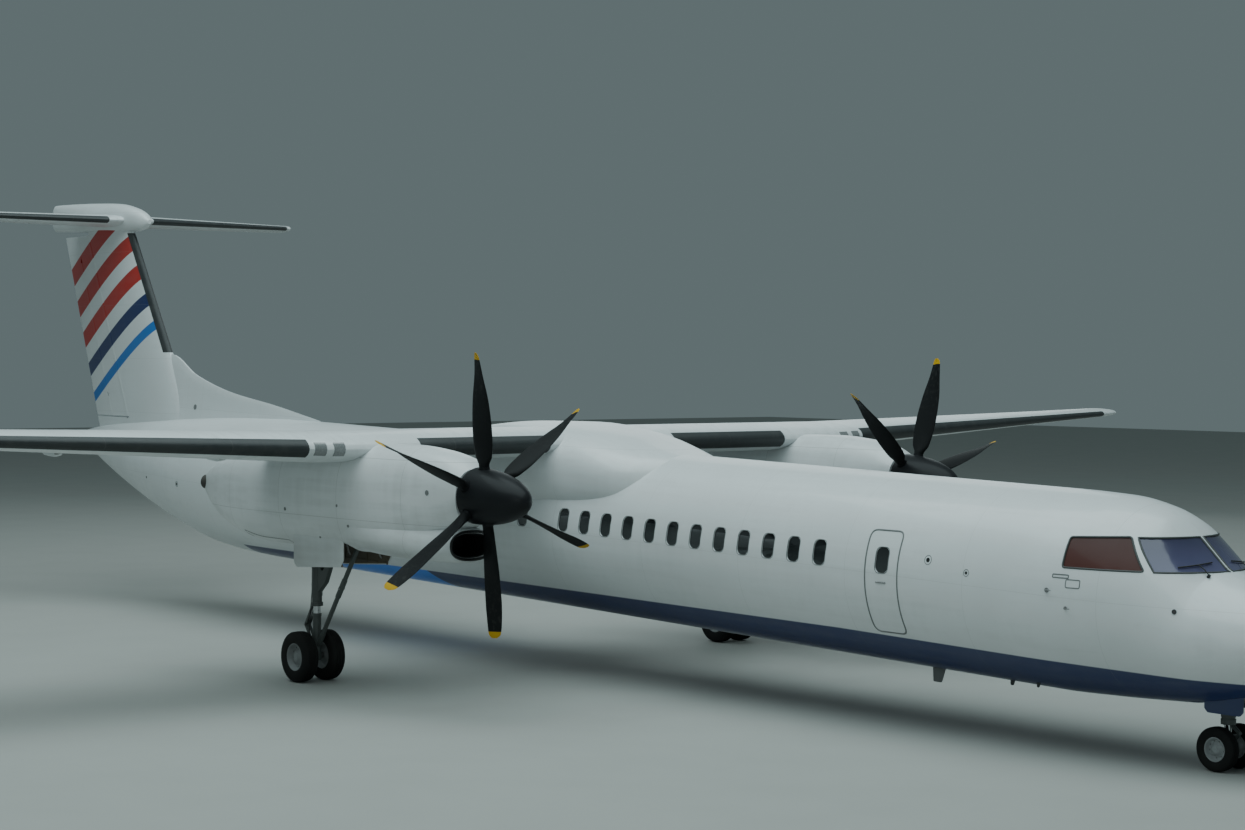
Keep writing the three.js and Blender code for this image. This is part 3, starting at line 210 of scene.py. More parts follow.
# %% Weather group
weather, (streaks, patches), ends = new_group(
    "Weather", {"Streaks": 0.5, "Patches": 0.5}, ("Mask", "Fine"))
along = noise(weather, 1.6, 5.0, (0.35, 5.0, 5.0))
runs = noise(weather, 1.0, 4.0, (6.0, 6.0, 0.5))
streak = (along * 0.65 + runs * 0.35).remap(0.44, 0.70) * streaks
patch = noise(weather, 0.7, 4.0).remap(0.40, 0.72) * patches
streak.peak(patch).to(ends["Mask"])
noise(weather, 38.0, 2.0).to(ends["Fine"])
print(len(weather.nodes), "nodes of weather")

# %% [markdown]
# Joints: sheets of metal meet in butt joints that show as thin dark lines. The group takes a
# coordinate, the distance between lines and their width, and puts out 1 on a line and 0
# elsewhere.

# %% Joint group
joint_lines, (along, pitch, shift, width), ends = new_group(
    "Joint lines", {"Along": 0.0, "Pitch": 1.0, "Shift": 0.0, "Width": 0.006}, ("Line",))
cell = (along + shift).calc("DIVIDE", pitch).calc("FRACT")
distance = (cell - 0.5).calc("ABSOLUTE") * pitch
distance.calc("LESS_THAN", width * 0.5).to(ends["Line"])


def lines(coordinate, pitch, shift=0.0, width=0.007):
    inputs = {"Along": coordinate, "Pitch": pitch, "Shift": shift, "Width": width}
    return add_node(coordinate.tree, "Group", inputs, "Line", node_tree=joint_lines)


print(len(joint_lines.nodes), "nodes of joint lines")

# %% [markdown]
# Every finish is then one call: a base colour (plain, or made by a pattern of nodes), how
# much dirt it carries and how rough it is. The weather mask darkens and dulls the base, and a
# fine grain gives the faint unevenness that real paint and rubber have.

# %% Finish helper
materials = {}
WHITE = (0.74, 0.77, 0.78, 1)
GREY_DIRT = (0.30, 0.30, 0.28, 1)
NAVY = (0.014, 0.030, 0.118, 1)
BRIGHT_BLUE = (0.012, 0.165, 0.52, 1)
BELLY_BLUE = (0.004, 0.25, 0.92, 1)
RED = (0.46, 0.028, 0.022, 1)
JOINT_DARK, JOINT_DEEP = 0.55, 0.002
DIRT_DULLS, SPECKLE, BUMP = 0.22, 0.10, 0.6


def new_material(name, numbers):
    """A material's node tree and its shader's inputs, with the plain numbers set."""
    material = materials[name] = bpy.data.materials.new(name)
    material.use_nodes = True
    shader = material.node_tree.nodes["Principled BSDF"].inputs
    for label, value in numbers.items():
        shader[label].default_value = value
    return material.node_tree, shader


def finish(name, color, dirt_color, rough, dirty=0.5, streaks=0.5, patches=0.5,
           metal=0.0, coat=0.0, grain=0.0006, pattern=None, shine=0.5):
    tree, shader = new_material(
        name, {"Metallic": metal, "Coat Weight": coat, "Specular IOR Level": shine})
    materials[name].diffuse_color = color
    air = add_node(tree, "Group", {"Streaks": streaks, "Patches": patches}, "Mask",
                   node_tree=weather)
    fine = Signal(tree, air.socket.node.outputs["Fine"])
    mask, height = air * dirty, fine * grain
    base = color
    if pattern:
        base, line = pattern(tree)
        if line:
            mask = mask.peak(line * JOINT_DARK)
            height = height - line * JOINT_DEEP
    mask.mix(base, dirt_color).to(shader["Base Color"])
    (mask * DIRT_DULLS + rough + (fine - 0.5) * SPECKLE).to(shader["Roughness"])
    bump = {"Height": height, "Strength": BUMP, "Distance": 1.0}
    add_node(tree, "Bump", bump).to(shader["Normal"])


print("one call makes a finish")

# %% [markdown]
# The fuselage paint is white with a navy belly. The mask compares each point's height with a
# line along the body, whose axis drops a little towards the nose; behind the forward cabin
# the belly's edge sinks slowly lower. Under the wing the navy turns to a brighter blue. Frames
# meet the skin every two metres or so, and long joints run along each side.

# %% Fuselage paint
AXIS_X, AXIS_Z, AXIS_SLOPE = 9.165, 2.140, -0.0244
BAND_TOP, BAND_LEVEL_TO, BAND_SINK, BAND_END, BAND_EDGE = -0.815, 9.0, 0.0165, -7.3, 0.006
BRIGHT_FRONT, BRIGHT_REAR, BRIGHT_LEAN, BRIGHT_EDGE = -1.85, -5.25, 0.8, 0.01


def axis_z(x):
    return AXIS_Z + AXIS_SLOPE * (x - AXIS_X)


def above_axis(x, z):
    return z - AXIS_Z - (x - AXIS_X) * AXIS_SLOPE


def hull_pattern(tree):
    x, y, z = coordinates(tree)
    height = above_axis(x, z)
    slanted = x + height * BRIGHT_LEAN
    ahead = slanted.remap(BRIGHT_FRONT - BRIGHT_EDGE, BRIGHT_FRONT + BRIGHT_EDGE)
    behind = slanted.remap(BRIGHT_REAR + BRIGHT_EDGE, BRIGHT_REAR - BRIGHT_EDGE)
    belly = ahead.peak(behind).mix(BELLY_BLUE, NAVY)
    sunk = (x * -1 + BAND_LEVEL_TO).peak(0.0) * BAND_SINK
    band = (height + sunk).remap(BAND_TOP + BAND_EDGE, BAND_TOP - BAND_EDGE)
    base = (band * (x > BAND_END)).mix(WHITE, belly)
    return base, lines(x, 2.15, 0.3).peak(lines(height, 1.33, 0.62, 0.006)) * 0.5


finish("hull_paint", WHITE, GREY_DIRT, 0.33, 0.22, 0.6, 0.5, coat=0.25, pattern=hull_pattern)
print("hull paint")

# %% [markdown]
# Wings, tailplane and control surfaces are white too, with joints across the span. The
# nacelles turn greyer in cloudy patches towards the bottom and the rear, so they have their own
# pattern.

# %% Wing and nacelle paint
def wing_pattern(tree):
    x, y, z = coordinates(tree)
    return WHITE, lines(y, 1.45, 0.2) * 0.5


def nacelle_pattern(tree):
    x, y, z = coordinates(tree)
    cowl = lines(x, 1.62, 0.1).peak(lines(z, 0.92, 0.58))
    soot = noise(tree, 1.2, 4.0, (0.5, 2.0, 2.0)).remap(0.35, 0.75)
    low, rear = z.remap(3.05, 2.15), x.remap(0.6, -2.2)
    return (low.peak(rear) * soot * 0.45).mix(WHITE, GREY_DIRT), cowl


finish("wing_paint", WHITE, GREY_DIRT, 0.36, 0.34, 0.7, 0.6, coat=0.2, pattern=wing_pattern)
finish("nacelle_paint", WHITE, GREY_DIRT, 0.36, 0.32, 0.8, 0.5, coat=0.2,
       pattern=nacelle_pattern)
print("wing and nacelle paint")

# %% [markdown]
# The fin and rudder carry five slanted stripes on white: light blue at the foot, then navy
# and three of red. They are a generic pattern. One coordinate rises aft across the fin,
# and each stripe is the part of it between two values.

# %% Fin paint
STRIPE_X, STRIPE_LEAN, STRIPE_EDGE = 13.0, 0.55, 0.004
STRIPES = ((4.92, 5.16, BRIGHT_BLUE), (5.58, 5.92, NAVY), (6.32, 6.72, RED),
           (7.12, 7.54, RED), (7.94, 8.38, RED))


def fin_pattern(tree):
    x, y, z = coordinates(tree)
    slanted = z - (x + STRIPE_X) * STRIPE_LEAN
    painted = WHITE
    for low, high, ink in STRIPES:
        inside = (slanted.remap(low - STRIPE_EDGE, low + STRIPE_EDGE)
                  * slanted.remap(high + STRIPE_EDGE, high - STRIPE_EDGE))
        painted = inside.mix(painted, ink)
    return painted, lines(z, 1.12, 0.05) * 0.4


finish("fin_paint", WHITE, GREY_DIRT, 0.33, 0.18, 0.5, 0.5, coat=0.25, pattern=fin_pattern)
print(len(STRIPES), "stripes on the fin")

# %% [markdown]
# De-icing boots are inflatable rubber sheets glued over the leading edges. They are nearly
# black with a dull sheen, greyed by rain and insects, and show faint ribs along the span.

# %% Boots, tyres and other dark finishes
def boot_pattern(tree):
    x, y, z = coordinates(tree)
    ribs = lines(z + y * -0.037, 0.045, 0.0, 0.006)
    return (0.026, 0.031, 0.033, 1), (ribs * 0.3).peak(lines(y, 1.90, 0.3, 0.012))


finish("boot_rubber", (0.013, 0.014, 0.015, 1), (0.085, 0.085, 0.08, 1), 0.46, 0.5, 0.7, 0.4,
       grain=0.0009, pattern=boot_pattern)
finish("tyre_rubber", (0.012, 0.012, 0.012, 1), (0.045, 0.043, 0.040, 1), 0.78, 0.45, 0.2, 0.9,
       grain=0.0016, shine=0.2)
finish("seal_rubber", (0.17, 0.18, 0.18, 1), (0.30, 0.30, 0.29, 1), 0.65, 0.5, 0.4, 0.6)
finish("frame_rubber", (0.055, 0.062, 0.062, 1), (0.16, 0.16, 0.15, 1), 0.55, 0.5, 0.4, 0.6)
finish("black_trim", (0.012, 0.012, 0.013, 1), (0.07, 0.07, 0.07, 1), 0.42, 0.4, 0.4, 0.5)
finish("soot", (0.035, 0.033, 0.03, 1), (0.13, 0.12, 0.10, 1), 0.8, 0.6, 0.3, 0.9, grain=0.002)
print(len(materials), "finishes so far")

# %% [markdown]
# The propeller blades are black composite, worn pale in small nicks towards the ends, with
# yellow tips. The distance from the propeller's axis is worked out from the object
# coordinates, so the same material serves both propellers.

# %% Propeller finishes
HUB_Y, HUB_Z, PROPELLER_RADIUS, TIP_LONG = 4.4, 3.086, 2.055, 0.10


def blade_pattern(tree):
    x, y, z = coordinates(tree)
    aside, above = y.calc("ABSOLUTE") - HUB_Y, z - HUB_Z
    radius = (aside * aside + above * above).calc("SQRT")
    nicks = noise(tree, 16.0, 5.0).remap(0.52, 0.66)
    worn = nicks * radius.remap(0.9, 1.9) * 0.35
    black = worn.mix((0.010, 0.011, 0.012, 1), (0.06, 0.06, 0.055, 1))
    return (radius > PROPELLER_RADIUS - TIP_LONG).mix(black, (0.62, 0.36, 0.015, 1)), None


finish("blade_black", (0.012, 0.012, 0.013, 1), (0.04, 0.04, 0.038, 1), 0.55, 0.3, 0.2, 0.6,
       pattern=blade_pattern, shine=0.12)
finish("spinner_black", (0.010, 0.011, 0.013, 1), (0.040, 0.040, 0.040, 1), 0.42, 0.3, 0.3, 0.6,
       coat=0.05, shine=0.15)
print("blade and spinner finishes")

# %% [markdown]
# Bare and painted metal: the legs are dark grey paint with grease, the wheels a lighter grey
# with brake dust, the sliding tubes are hard chrome, and pipes and fittings are dull steel.

# %% Metal and other finishes
finish("leg_paint", (0.085, 0.098, 0.095, 1), (0.05, 0.05, 0.045, 1), 0.42, 0.5, 0.2, 0.9)
finish("wheel_paint", (0.29, 0.305, 0.31, 1), (0.10, 0.09, 0.085, 1), 0.45, 0.55, 0.2, 0.9)
finish("chrome_tube", (0.50, 0.51, 0.52, 1), (0.30, 0.29, 0.28, 1), 0.12, 0.3, 0.1, 0.6,
       metal=1.0)
finish("dull_steel", (0.36, 0.36, 0.36, 1), (0.14, 0.13, 0.12, 1), 0.42, 0.5, 0.2, 0.8,
       metal=0.9)
# The primer of the wells and door linings is dark brown, partly its own colour and partly painted
# shade.
finish("primer_and_shade", (0.13, 0.11, 0.08, 1), (0.03, 0.028, 0.024, 1), 0.6, 0.6, 0.3, 0.8)
finish("cabin_trim", (0.42, 0.42, 0.40, 1), (0.20, 0.19, 0.18, 1), 0.7, 0.3, 0.1, 0.6)
finish("navy_paint", NAVY, (0.08, 0.08, 0.09, 1), 0.33, 0.3, 0.6, 0.5, coat=0.25)
finish("step_grip", (0.10, 0.10, 0.10, 1), (0.22, 0.21, 0.20, 1), 0.85, 0.5, 0.1, 0.9,
       grain=0.003)
finish("floor_grey", (0.38, 0.385, 0.365, 1), (0.32, 0.325, 0.31, 1), 0.75, 0.25, 0.0, 0.8)
floor.data.materials.append(materials["floor_grey"])
print(len(materials), "finishes so far")

# %% [markdown]
# Glass. The cockpit panes are thick, dark and slightly blue, and reflect the sky. A curtain is
# drawn behind the side window, which gives it a warm brown cast, so that pane's base colour
# is mixed from two browns. The cabin panes are small, dark and grey. All have a clear coat.

# %% Glass finishes
def pane_material(name, top, foot, low, high, rough, coat=1.0, shine=0.5):
    tree, shader = new_material(name, {
        "Coat Weight": coat, "Coat Roughness": 0.03, "Specular IOR Level": shine, "IOR": 1.52})
    x, y, z = coordinates(tree)
    share = (above_axis(x, z) + noise(tree, 2.4) * 0.14).remap(low, high)
    share.mix(foot, top).to(shader["Base Color"])
    film = noise(tree, 7.0, 4.0).remap(0.3, 0.8, rough, rough + 0.10)
    film.to(shader["Roughness"])


pane_material("windscreen_glass", (0.042, 0.042, 0.085, 1), (0.098, 0.096, 0.185, 1),
              0.52, 0.92, 0.10, 0.35, 0.4)
pane_material("curtained_glass", (0.060, 0.022, 0.019, 1), (0.095, 0.036, 0.031, 1),
              0.50, 0.95, 0.34, 0.06, 0.15)
pane_material("cabin_glass", (0.010, 0.012, 0.013, 1), (0.036, 0.042, 0.042, 1),
              0.10, 0.42, 0.08)
# Lamp lenses: fine cells mix a lighter colour into each, as painted glints.
for name, color, glint_color in (
    ("red_lens", (0.35, 0.01, 0.01, 1), (0.60, 0.05, 0.03, 1)),
    ("green_lens", (0.01, 0.22, 0.06, 1), (0.04, 0.45, 0.14, 1)),
    ("landing_glass", (0.13, 0.14, 0.14, 1), (0.30, 0.31, 0.31, 1)),
    ("clear_lens", (0.30, 0.32, 0.33, 1), (0.62, 0.64, 0.65, 1)),
):
    tree, shader = new_material(name, {"Coat Weight": 1.0})
    cells = noise(tree, 60.0, 1.0)
    cells.mix(color, glint_color).to(shader["Base Color"])
    cells.remap(0.3, 0.7, 0.05, 0.16).to(shader["Roughness"])
print(len(materials), "finishes in all")

# %% [markdown]
# Modelling helpers. Most of an airliner is made of hoops: rings that change width and height
# from station to station. So the main tool starts with a filled circle, sets it upright at
# the first station and then extrudes it from hoop to hoop, resizing it about its own middle
# at each, exactly as one would by hand with E, G and S.

# %% Mesh helpers
SIDES = (("port", 1), ("starboard", -1))
SAME_POINT = 0.00002


def select_only(obj):
    bpy.ops.object.select_all(action="DESELECT")
    obj.select_set(True)
    bpy.context.view_layer.objects.active = obj


@contextmanager
def editing(obj, action="SELECT"):
    """Edit mode on one object, with everything in it selected."""
    select_only(obj)
    bpy.ops.object.mode_set(mode="EDIT")
    bpy.ops.mesh.select_all(action=action)
    yield
    bpy.ops.object.mode_set(mode="OBJECT")


def freeze(obj):
    select_only(obj)
    bpy.ops.object.transform_apply(location=True, rotation=True, scale=True)
    return obj


def tidy_normals(obj):
    with editing(obj):
        bpy.ops.mesh.remove_doubles(threshold=SAME_POINT)
        bpy.ops.mesh.normals_make_consistent(inside=False)
    return obj


def smooth(obj, degrees):
    select_only(obj)
    bpy.ops.object.shade_smooth_by_angle(angle=math.radians(degrees))
    return obj


def power(value, exponent):
    return math.copysign(abs(value) ** exponent, value)


def ring_loft(rings, sides, square=1.0):
    """A closed skin. Rings: X, Y and Z of the middle, half width and half height."""
    bpy.ops.mesh.primitive_circle_add(vertices=sides, radius=1, fill_type="NGON",
                                      rotation=(0, math.pi / 2, 0))
    obj = freeze(bpy.context.object)
    for vertex in obj.data.vertices:
        vertex.co = (0, power(vertex.co.y, square), power(vertex.co.z, square))
    x, y, z, wide, tall = rings[0]
    with editing(obj):
        bpy.ops.transform.resize(value=(1, wide, tall), center_override=(0, 0, 0))
        bpy.ops.transform.translate(value=(x, y, z))
        for before, after in zip(rings, rings[1:]):
            step = [b - a for a, b in zip(before[:3], after[:3])]
            bpy.ops.mesh.extrude_region_move(TRANSFORM_OT_translate={"value": step})
            size = (1, after[3] / before[3], after[4] / before[4])
            bpy.ops.transform.resize(value=size, center_override=after[:3])
    return tidy_normals(obj)


def block(low, high, bevel=0.0):
    """A box between two corners, with rounded edges if a bevel is given."""
    middle = [(a + b) / 2 for a, b in zip(low, high)]
    bpy.ops.mesh.primitive_cube_add(size=1, location=middle)
    obj = bpy.context.object
    obj.scale = [b - a for a, b in zip(low, high)]
    freeze(obj)
    if bevel:
        with editing(obj):
            bpy.ops.mesh.bevel(offset=bevel, segments=3, affect="EDGES")
    return obj


def rod(start, end, radius, end_radius=None, sides=24, bevel=0.0):
    """A round bar between two points, with its ends bevelled if a bevel is given."""
    a, b = Vector(start), Vector(end)
    bpy.ops.mesh.primitive_cone_add(
        vertices=sides, radius1=radius, radius2=end_radius or radius,
        depth=(b - a).length, location=(a + b) / 2,
        rotation=(b - a).to_track_quat("Z", "Y").to_euler())
    obj = freeze(bpy.context.object)
    if bevel:
        with editing(obj, "DESELECT"):
            pass
        for face in obj.data.polygons:
            face.select = len(face.vertices) > 4
        bpy.ops.object.mode_set(mode="EDIT")
        bpy.ops.mesh.region_to_loop()
        bpy.ops.mesh.bevel(offset=bevel, segments=2, affect="EDGES")
        bpy.ops.object.mode_set(mode="OBJECT")
    return obj


def pushed(corners, low, high, flat="y", corner=0.0, segments=5):
    """An outline pushed along an axis, with rounded corners: y for X and Z, z for X and Y."""
    bpy.ops.mesh.primitive_circle_add(vertices=len(corners), radius=1, fill_type="NGON")
    obj = bpy.context.object
    for vertex, (a, b) in zip(obj.data.vertices, corners):
        vertex.co = (a, b, low) if flat == "z" else (a, low, b)
    step = (0, 0, high - low) if flat == "z" else (0, high - low, 0)
    with editing(obj):
        if corner:
            bpy.ops.mesh.bevel(offset=corner, segments=segments, affect="VERTICES")
            bpy.ops.mesh.select_all(action="SELECT")
        bpy.ops.mesh.extrude_region_move(TRANSFORM_OT_translate={"value": step})
    return tidy_normals(obj)


def rounded_plate(corners, y0, y1, corner, bevel):
    """A plate with rounded corners, whose edges are bevelled too."""
    obj = pushed(corners, y0, y1, corner=corner, segments=3)
    select_only(obj)
    modifier = obj.modifiers.new("edges", "BEVEL")
    modifier.width, modifier.segments, modifier.limit_method = bevel, 2, "ANGLE"
    modifier.angle_limit = math.radians(50)
    bpy.ops.object.modifier_apply(modifier=modifier.name)
    return smooth(obj, 40)


def weld(objects):
    """Joins objects into one mesh."""
    bpy.ops.object.select_all(action="DESELECT")
    for obj in objects:
        obj.select_set(True)
    bpy.context.view_layer.objects.active = objects[0]
    if len(objects) > 1:
        bpy.ops.object.join()
    return bpy.context.object


def carve(obj, *tools, operation="DIFFERENCE", keep=False):
    """Applies a boolean modifier for each tool, and removes the tool unless it is kept."""
    for tool in tools:
        select_only(obj)
        modifier = obj.modifiers.new("cut", "BOOLEAN")
        modifier.operation, modifier.solver, modifier.object = operation, "EXACT", tool
        bpy.ops.object.modifier_apply(modifier=modifier.name)
        if not keep:
            bpy.data.objects.remove(tool)
    return obj


def inside(obj, tool, keep=False):
    """Trims an object to the part that lies inside the tool."""
    return carve(obj, tool, operation="INTERSECT", keep=keep)


def united(obj, tool):
    return carve(obj, tool, operation="UNION")


def copy_of(obj):
    select_only(obj)
    bpy.ops.object.duplicate()
    return bpy.context.object


def flipped(obj):
    """The object itself, moved to the other side of the middle plane."""
    obj.scale.y = -1
    return tidy_normals(freeze(obj))


print("mesh helpers ready")

# %% [markdown]
# Each finished piece says what it is: its name and finish, the body that it rides on and the
# solids that it stands for. Most pieces are fixed to the airframe, so that is the default. A
# piece that both sides have is made to port and copied: SIDE in its names becomes port or
# starboard.

# %% Dress a piece
def dress(obj, name, paint, body="airframe", replaced=(), angle=0):
    if angle:
        smooth(obj, angle)
    obj.name = obj.data.name = name
    obj.data.materials.clear()
    obj.data.materials.append(materials[paint])
    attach(obj, body)
    if replaced:
        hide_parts(*replaced)
    return obj


def both_sides(obj, name, paint, body="airframe", replaced=(), angle=32):
    twin = flipped(copy_of(obj))
    for piece, (word, _) in zip((obj, twin), SIDES):
        dress(piece, f"{name}_{word}", paint, body.replace("SIDE", word),
              [solid.replace("SIDE", word) for solid in replaced], angle)


print("pieces can be dressed")

# %% [markdown]
# The hull. A table of stations gives half width, top and bottom above the body's axis. Between
# the stations a smooth curve is drawn through the table, so that the nose and the tail are
# rounder than the faceted solid below. The same curve also answers where the skin is at any
# height, which later places windows, doors and aerials on it.

# %% Hull curve
NOSE, HULL_SIDES, HULL_RADIUS, TAIL_END = 16.415, 96, 1.32, -15.064
STRAIGHT = (-6.4, 12.3)
BODY = [(NOSE - back, *row) for back, *row in (
    (0, 0.030, -0.270, -0.330), (0.04, 0.170, -0.170, -0.480), (0.15, 0.300, -0.090, -0.620),
    (0.35, 0.440, 0.020, -0.760), (0.65, 0.610, 0.150, -0.910), (1.00, 0.780, 0.270, -1.030),
    (1.35, 0.920, 0.370, -1.110), (1.65, 1.020, 0.470, -1.170), (1.85, 1.075, 0.640, -1.195),
    (2.08, 1.130, 0.850, -1.220), (2.37, 1.190, 1.080, -1.240), (2.70, 1.240, 1.215, -1.262),
    (3.20, 1.285, 1.300, -1.290), (4.00, 1.320, 1.320, -1.320),
)] + [
    (-6.50, 1.320, 1.320, -1.320), (-7.60, 1.265, 1.300, -1.305), (-8.70, 1.170, 1.260, -1.240),
    (-10.0, 0.990, 1.190, -1.030), (-11.3, 0.775, 1.110, -0.735), (-12.5, 0.570, 1.015, -0.410),
    (-13.6, 0.380, 0.905, -0.060), (-14.5, 0.210, 0.790, 0.260), (-15.065, 0.090, 0.680, 0.480),
]


def smooth_through(table, x):
    """One row of a table at x, on a curve that never overshoots its points."""
    rows = sorted(table)
    index = max(i for i, row in enumerate(rows) if row[0] <= x or i == 0)
    index = min(index, len(rows) - 2)
    a, b = rows[index], rows[index + 1]
    before, after = rows[max(index - 1, 0)], rows[min(index + 2, len(rows) - 1)]
    gap = b[0] - a[0]
    t = (x - a[0]) / gap
    h00, h10 = 2 * t**3 - 3 * t**2 + 1, t**3 - 2 * t**2 + t
    h01, h11 = -2 * t**3 + 3 * t**2, t**3 - t**2
    values = []
    for k in range(1, len(a)):
        slope = (b[k] - a[k]) / gap
        left = (a[k] - before[k]) / (a[0] - before[0]) if index else slope
        right = (after[k] - b[k]) / (after[0] - b[0]) if index < len(rows) - 2 else slope
        m0, m1 = (0 if side * slope <= 0 else 2 * side * slope / (side + slope)
                  for side in (left, right))
        values.append(h00 * a[k] + h10 * gap * m0 + h01 * b[k] + h11 * gap * m1)
    return values


def hull_size(x):
    """The hull's half width, half height and middle height at a station."""
    half, top, bottom = smooth_through(BODY, x)
    return half, (top - bottom) / 2, axis_z(x) + (top + bottom) / 2


def hull_core(front, rear, inset=0.0, step=0.12):
    """The hull between two stations, as a solid with its skin moved in."""
    spots = [x for x, *_ in BODY if rear < x < front]
    spots += [front - i * step for i in range(int((front - rear) / step) + 1)] + [rear]
    spots = [x for x in spots if not STRAIGHT[0] < x < STRAIGHT[1] or x in (front, rear)]
    rings = []
    for x in sorted(set(round(x, 4) for x in spots), reverse=True):
        if not rings or rings[-1][0] - x >= 0.02:
            half, tall, middle = hull_size(x)
            rings.append((x, 0, middle, max(half - inset, 0.004), max(tall - inset, 0.004)))
    return ring_loft(rings, HULL_SIDES)


def skin_y(x, z):
    """Half the hull's width at a place."""
    half, tall, middle = hull_size(x)
    return half * math.sqrt(max(1 - ((z - middle) / tall) ** 2, 0))


print("hull half width at the forward door", round(skin_y(9.99, axis_z(9.99)), 3))

# %% [markdown]
# One long hull is cut into the same lengths as the solids, because the airstair door in the
# second length has to open. Each length is closed at its ends. Ninety-six points round the
# hoop make the outline look round even at the edge of the picture.

# %% Hull lengths
hull = {name: hull_core(front, rear) for name, front, rear in (
    ("nose", NOSE, 13.0), ("forward", 13.0, 8.7), ("center", 8.7, -3.3), ("aft", -3.3, -7.6),
    ("tail", -7.6, TAIL_END))}
print({name: len(obj.data.vertices) for name, obj in hull.items()})

# %% [markdown]
# Doorways and windows are cut with flat, round-cornered outlines that are pushed through one
# side of the hull. What is left of such a cutter between two depths below the skin is a piece
# that follows the hull: a pocket, or the pane that fills it.

# %% Pockets and panes
def door_corners(x, width, sill, height, grow=0.0):
    x0, x1 = x - width / 2 - grow, x + width / 2 + grow
    z0 = axis_z(x) + sill - grow
    z1 = z0 + height + 2 * grow
    return [(x0, z0), (x1, z0), (x1, z1), (x0, z1)]


def side_span(side, near=0.25, far=1.8):
    return (near, far) if side > 0 else (-far, -near)


def layer_piece(cutter, front, rear, outer, inner):
    """The part of a cutter between two depths below the skin."""
    return carve(inside(cutter, hull_core(front, rear, outer)),
                 hull_core(front + 0.1, rear - 0.1, inner))


def pane_in(length, cutter, ends, depths, name, glass, replaced=(), angle=0):
    """Cuts a pocket in a length of the hull and fills it with a pane one millimetre smaller."""
    proud, sunk, deep = depths
    carve(hull[length], layer_piece(cutter(0.0), *ends, proud, deep))
    pane = layer_piece(cutter(-0.001), *ends, sunk, deep - 0.001)
    dress(pane, name, glass, replaced=replaced, angle=angle)


print("pocket helpers ready")

# %% [markdown]
# The cabin windows sit in a row a little above the body's axis, one between each pair of
# frames. All the pockets of one side are cut in one go, with one joined set of cutters.

# %% Cabin windows
WINDOW_PITCH, WINDOW_HEIGHT, WINDOW_CORNER = 0.517, 0.234, 0.085
WINDOW_WIDE, WINDOW_TALL = 0.235, 0.345
WINDOW_DEPTHS = (-0.02, 0.014, 0.030)
CABIN_WINDOWS = ([8.865 - i * WINDOW_PITCH for i in range(12)]
                 + [2.14 - i * WINDOW_PITCH for i in range(11)])


def window_corners(x, grow=0.0):
    return door_corners(x, WINDOW_WIDE, WINDOW_HEIGHT - WINDOW_TALL / 2, WINDOW_TALL, grow)


def window_cutters(places, side, grow):
    return weld([pushed(window_corners(x, grow), *side_span(side, 0.9),
                        corner=WINDOW_CORNER + grow) for x in places])


for word, side in SIDES:
    for length, ends in (("center", (8.75, -3.35)), ("forward", (13.0, 8.7))):
        places = [x for x in CABIN_WINDOWS if (x > 8.7) == (length == "forward")]
        pane_in(length, lambda grow: window_cutters(places, side, grow), ends, WINDOW_DEPTHS,
                f"cabin_panes_{length}_{word}", "cabin_glass", angle=35)
print("window pockets cut in both sides")

# %% [markdown]
# A window frame or a door seal is a thin rubber bead that lies in a closed line on the skin.
# A circle of points is moved onto the line, turned into a curve, given a round section and
# turned back into a mesh. The bead is sunk a little, so that it looks flat and neat. For an
# open bead, such as a pipe, the edge between its last and its first point is taken out.

# %% Beads on the skin
def bead(points, radius, closed=True):
    bpy.ops.mesh.primitive_circle_add(vertices=len(points), radius=1)
    obj = bpy.context.object
    for vertex, point in zip(obj.data.vertices, points):
        vertex.co = point
    if not closed:
        with editing(obj, "DESELECT"):
            bpy.ops.mesh.select_mode(type="EDGE")
        for edge in obj.data.edges:
            edge.select = set(edge.vertices) == {0, len(points) - 1}
        bpy.ops.object.mode_set(mode="EDIT")
        bpy.ops.mesh.delete(type="EDGE_FACE")
        bpy.ops.mesh.select_mode(type="VERT")
        bpy.ops.object.mode_set(mode="OBJECT")
    bpy.ops.object.convert(target="CURVE")
    obj.data.bevel_depth = radius
    obj.data.bevel_resolution = 2
    obj.data.use_fill_caps = not closed
    bpy.ops.object.convert(target="MESH")
    return smooth(tidy_normals(obj), 50)


def rounded_outline(corners, radius, spacing=0.06, arc=5):
    """Points along a four-sided outline with round corners, close enough to follow a skin."""
    points = []
    for i in range(len(corners)):
        here, back, on = (Vector(corners[k % len(corners)]) for k in (i, i - 1, i + 1))
        away = (on - here).normalized() * radius
        start_arc, end_arc = here + (back - here).normalized() * radius, here + away
        for t in (k / arc for k in range(arc + 1)):
            points.append((1 - t) ** 2 * start_arc + 2 * t * (1 - t) * here + t**2 * end_arc)
        first, stop = points[-1], on - away
        steps = int((stop - first).length / spacing)
        points += [first.lerp(stop, (k + 1) / (steps + 1)) for k in range(steps)]
    return points


def skin_bead(points, side, radius, sunk=0.002):
    """A bead along X and Z points on one side of the hull."""
    return bead([(x, side * (skin_y(x, z) - sunk), z) for x, z in points], radius)


def window_line(x):
    return rounded_outline(window_corners(x, 0.004), WINDOW_CORNER, arc=4)


for word, side in SIDES:
    frames = weld([skin_bead(window_line(x), side, 0.006) for x in CABIN_WINDOWS])
    dress(frames, "cabin_window_frames_" + word, "seal_rubber")
print("frames round", 2 * len(CABIN_WINDOWS), "cabin windows")

# %% [markdown]
# Doors. The emergency exit, the service door and the two aft doors are closed plugs, flush
# with the skin, so only their rubber seals show as pale grey lines. Each has a handle, and
# all but the baggage door have a small window.

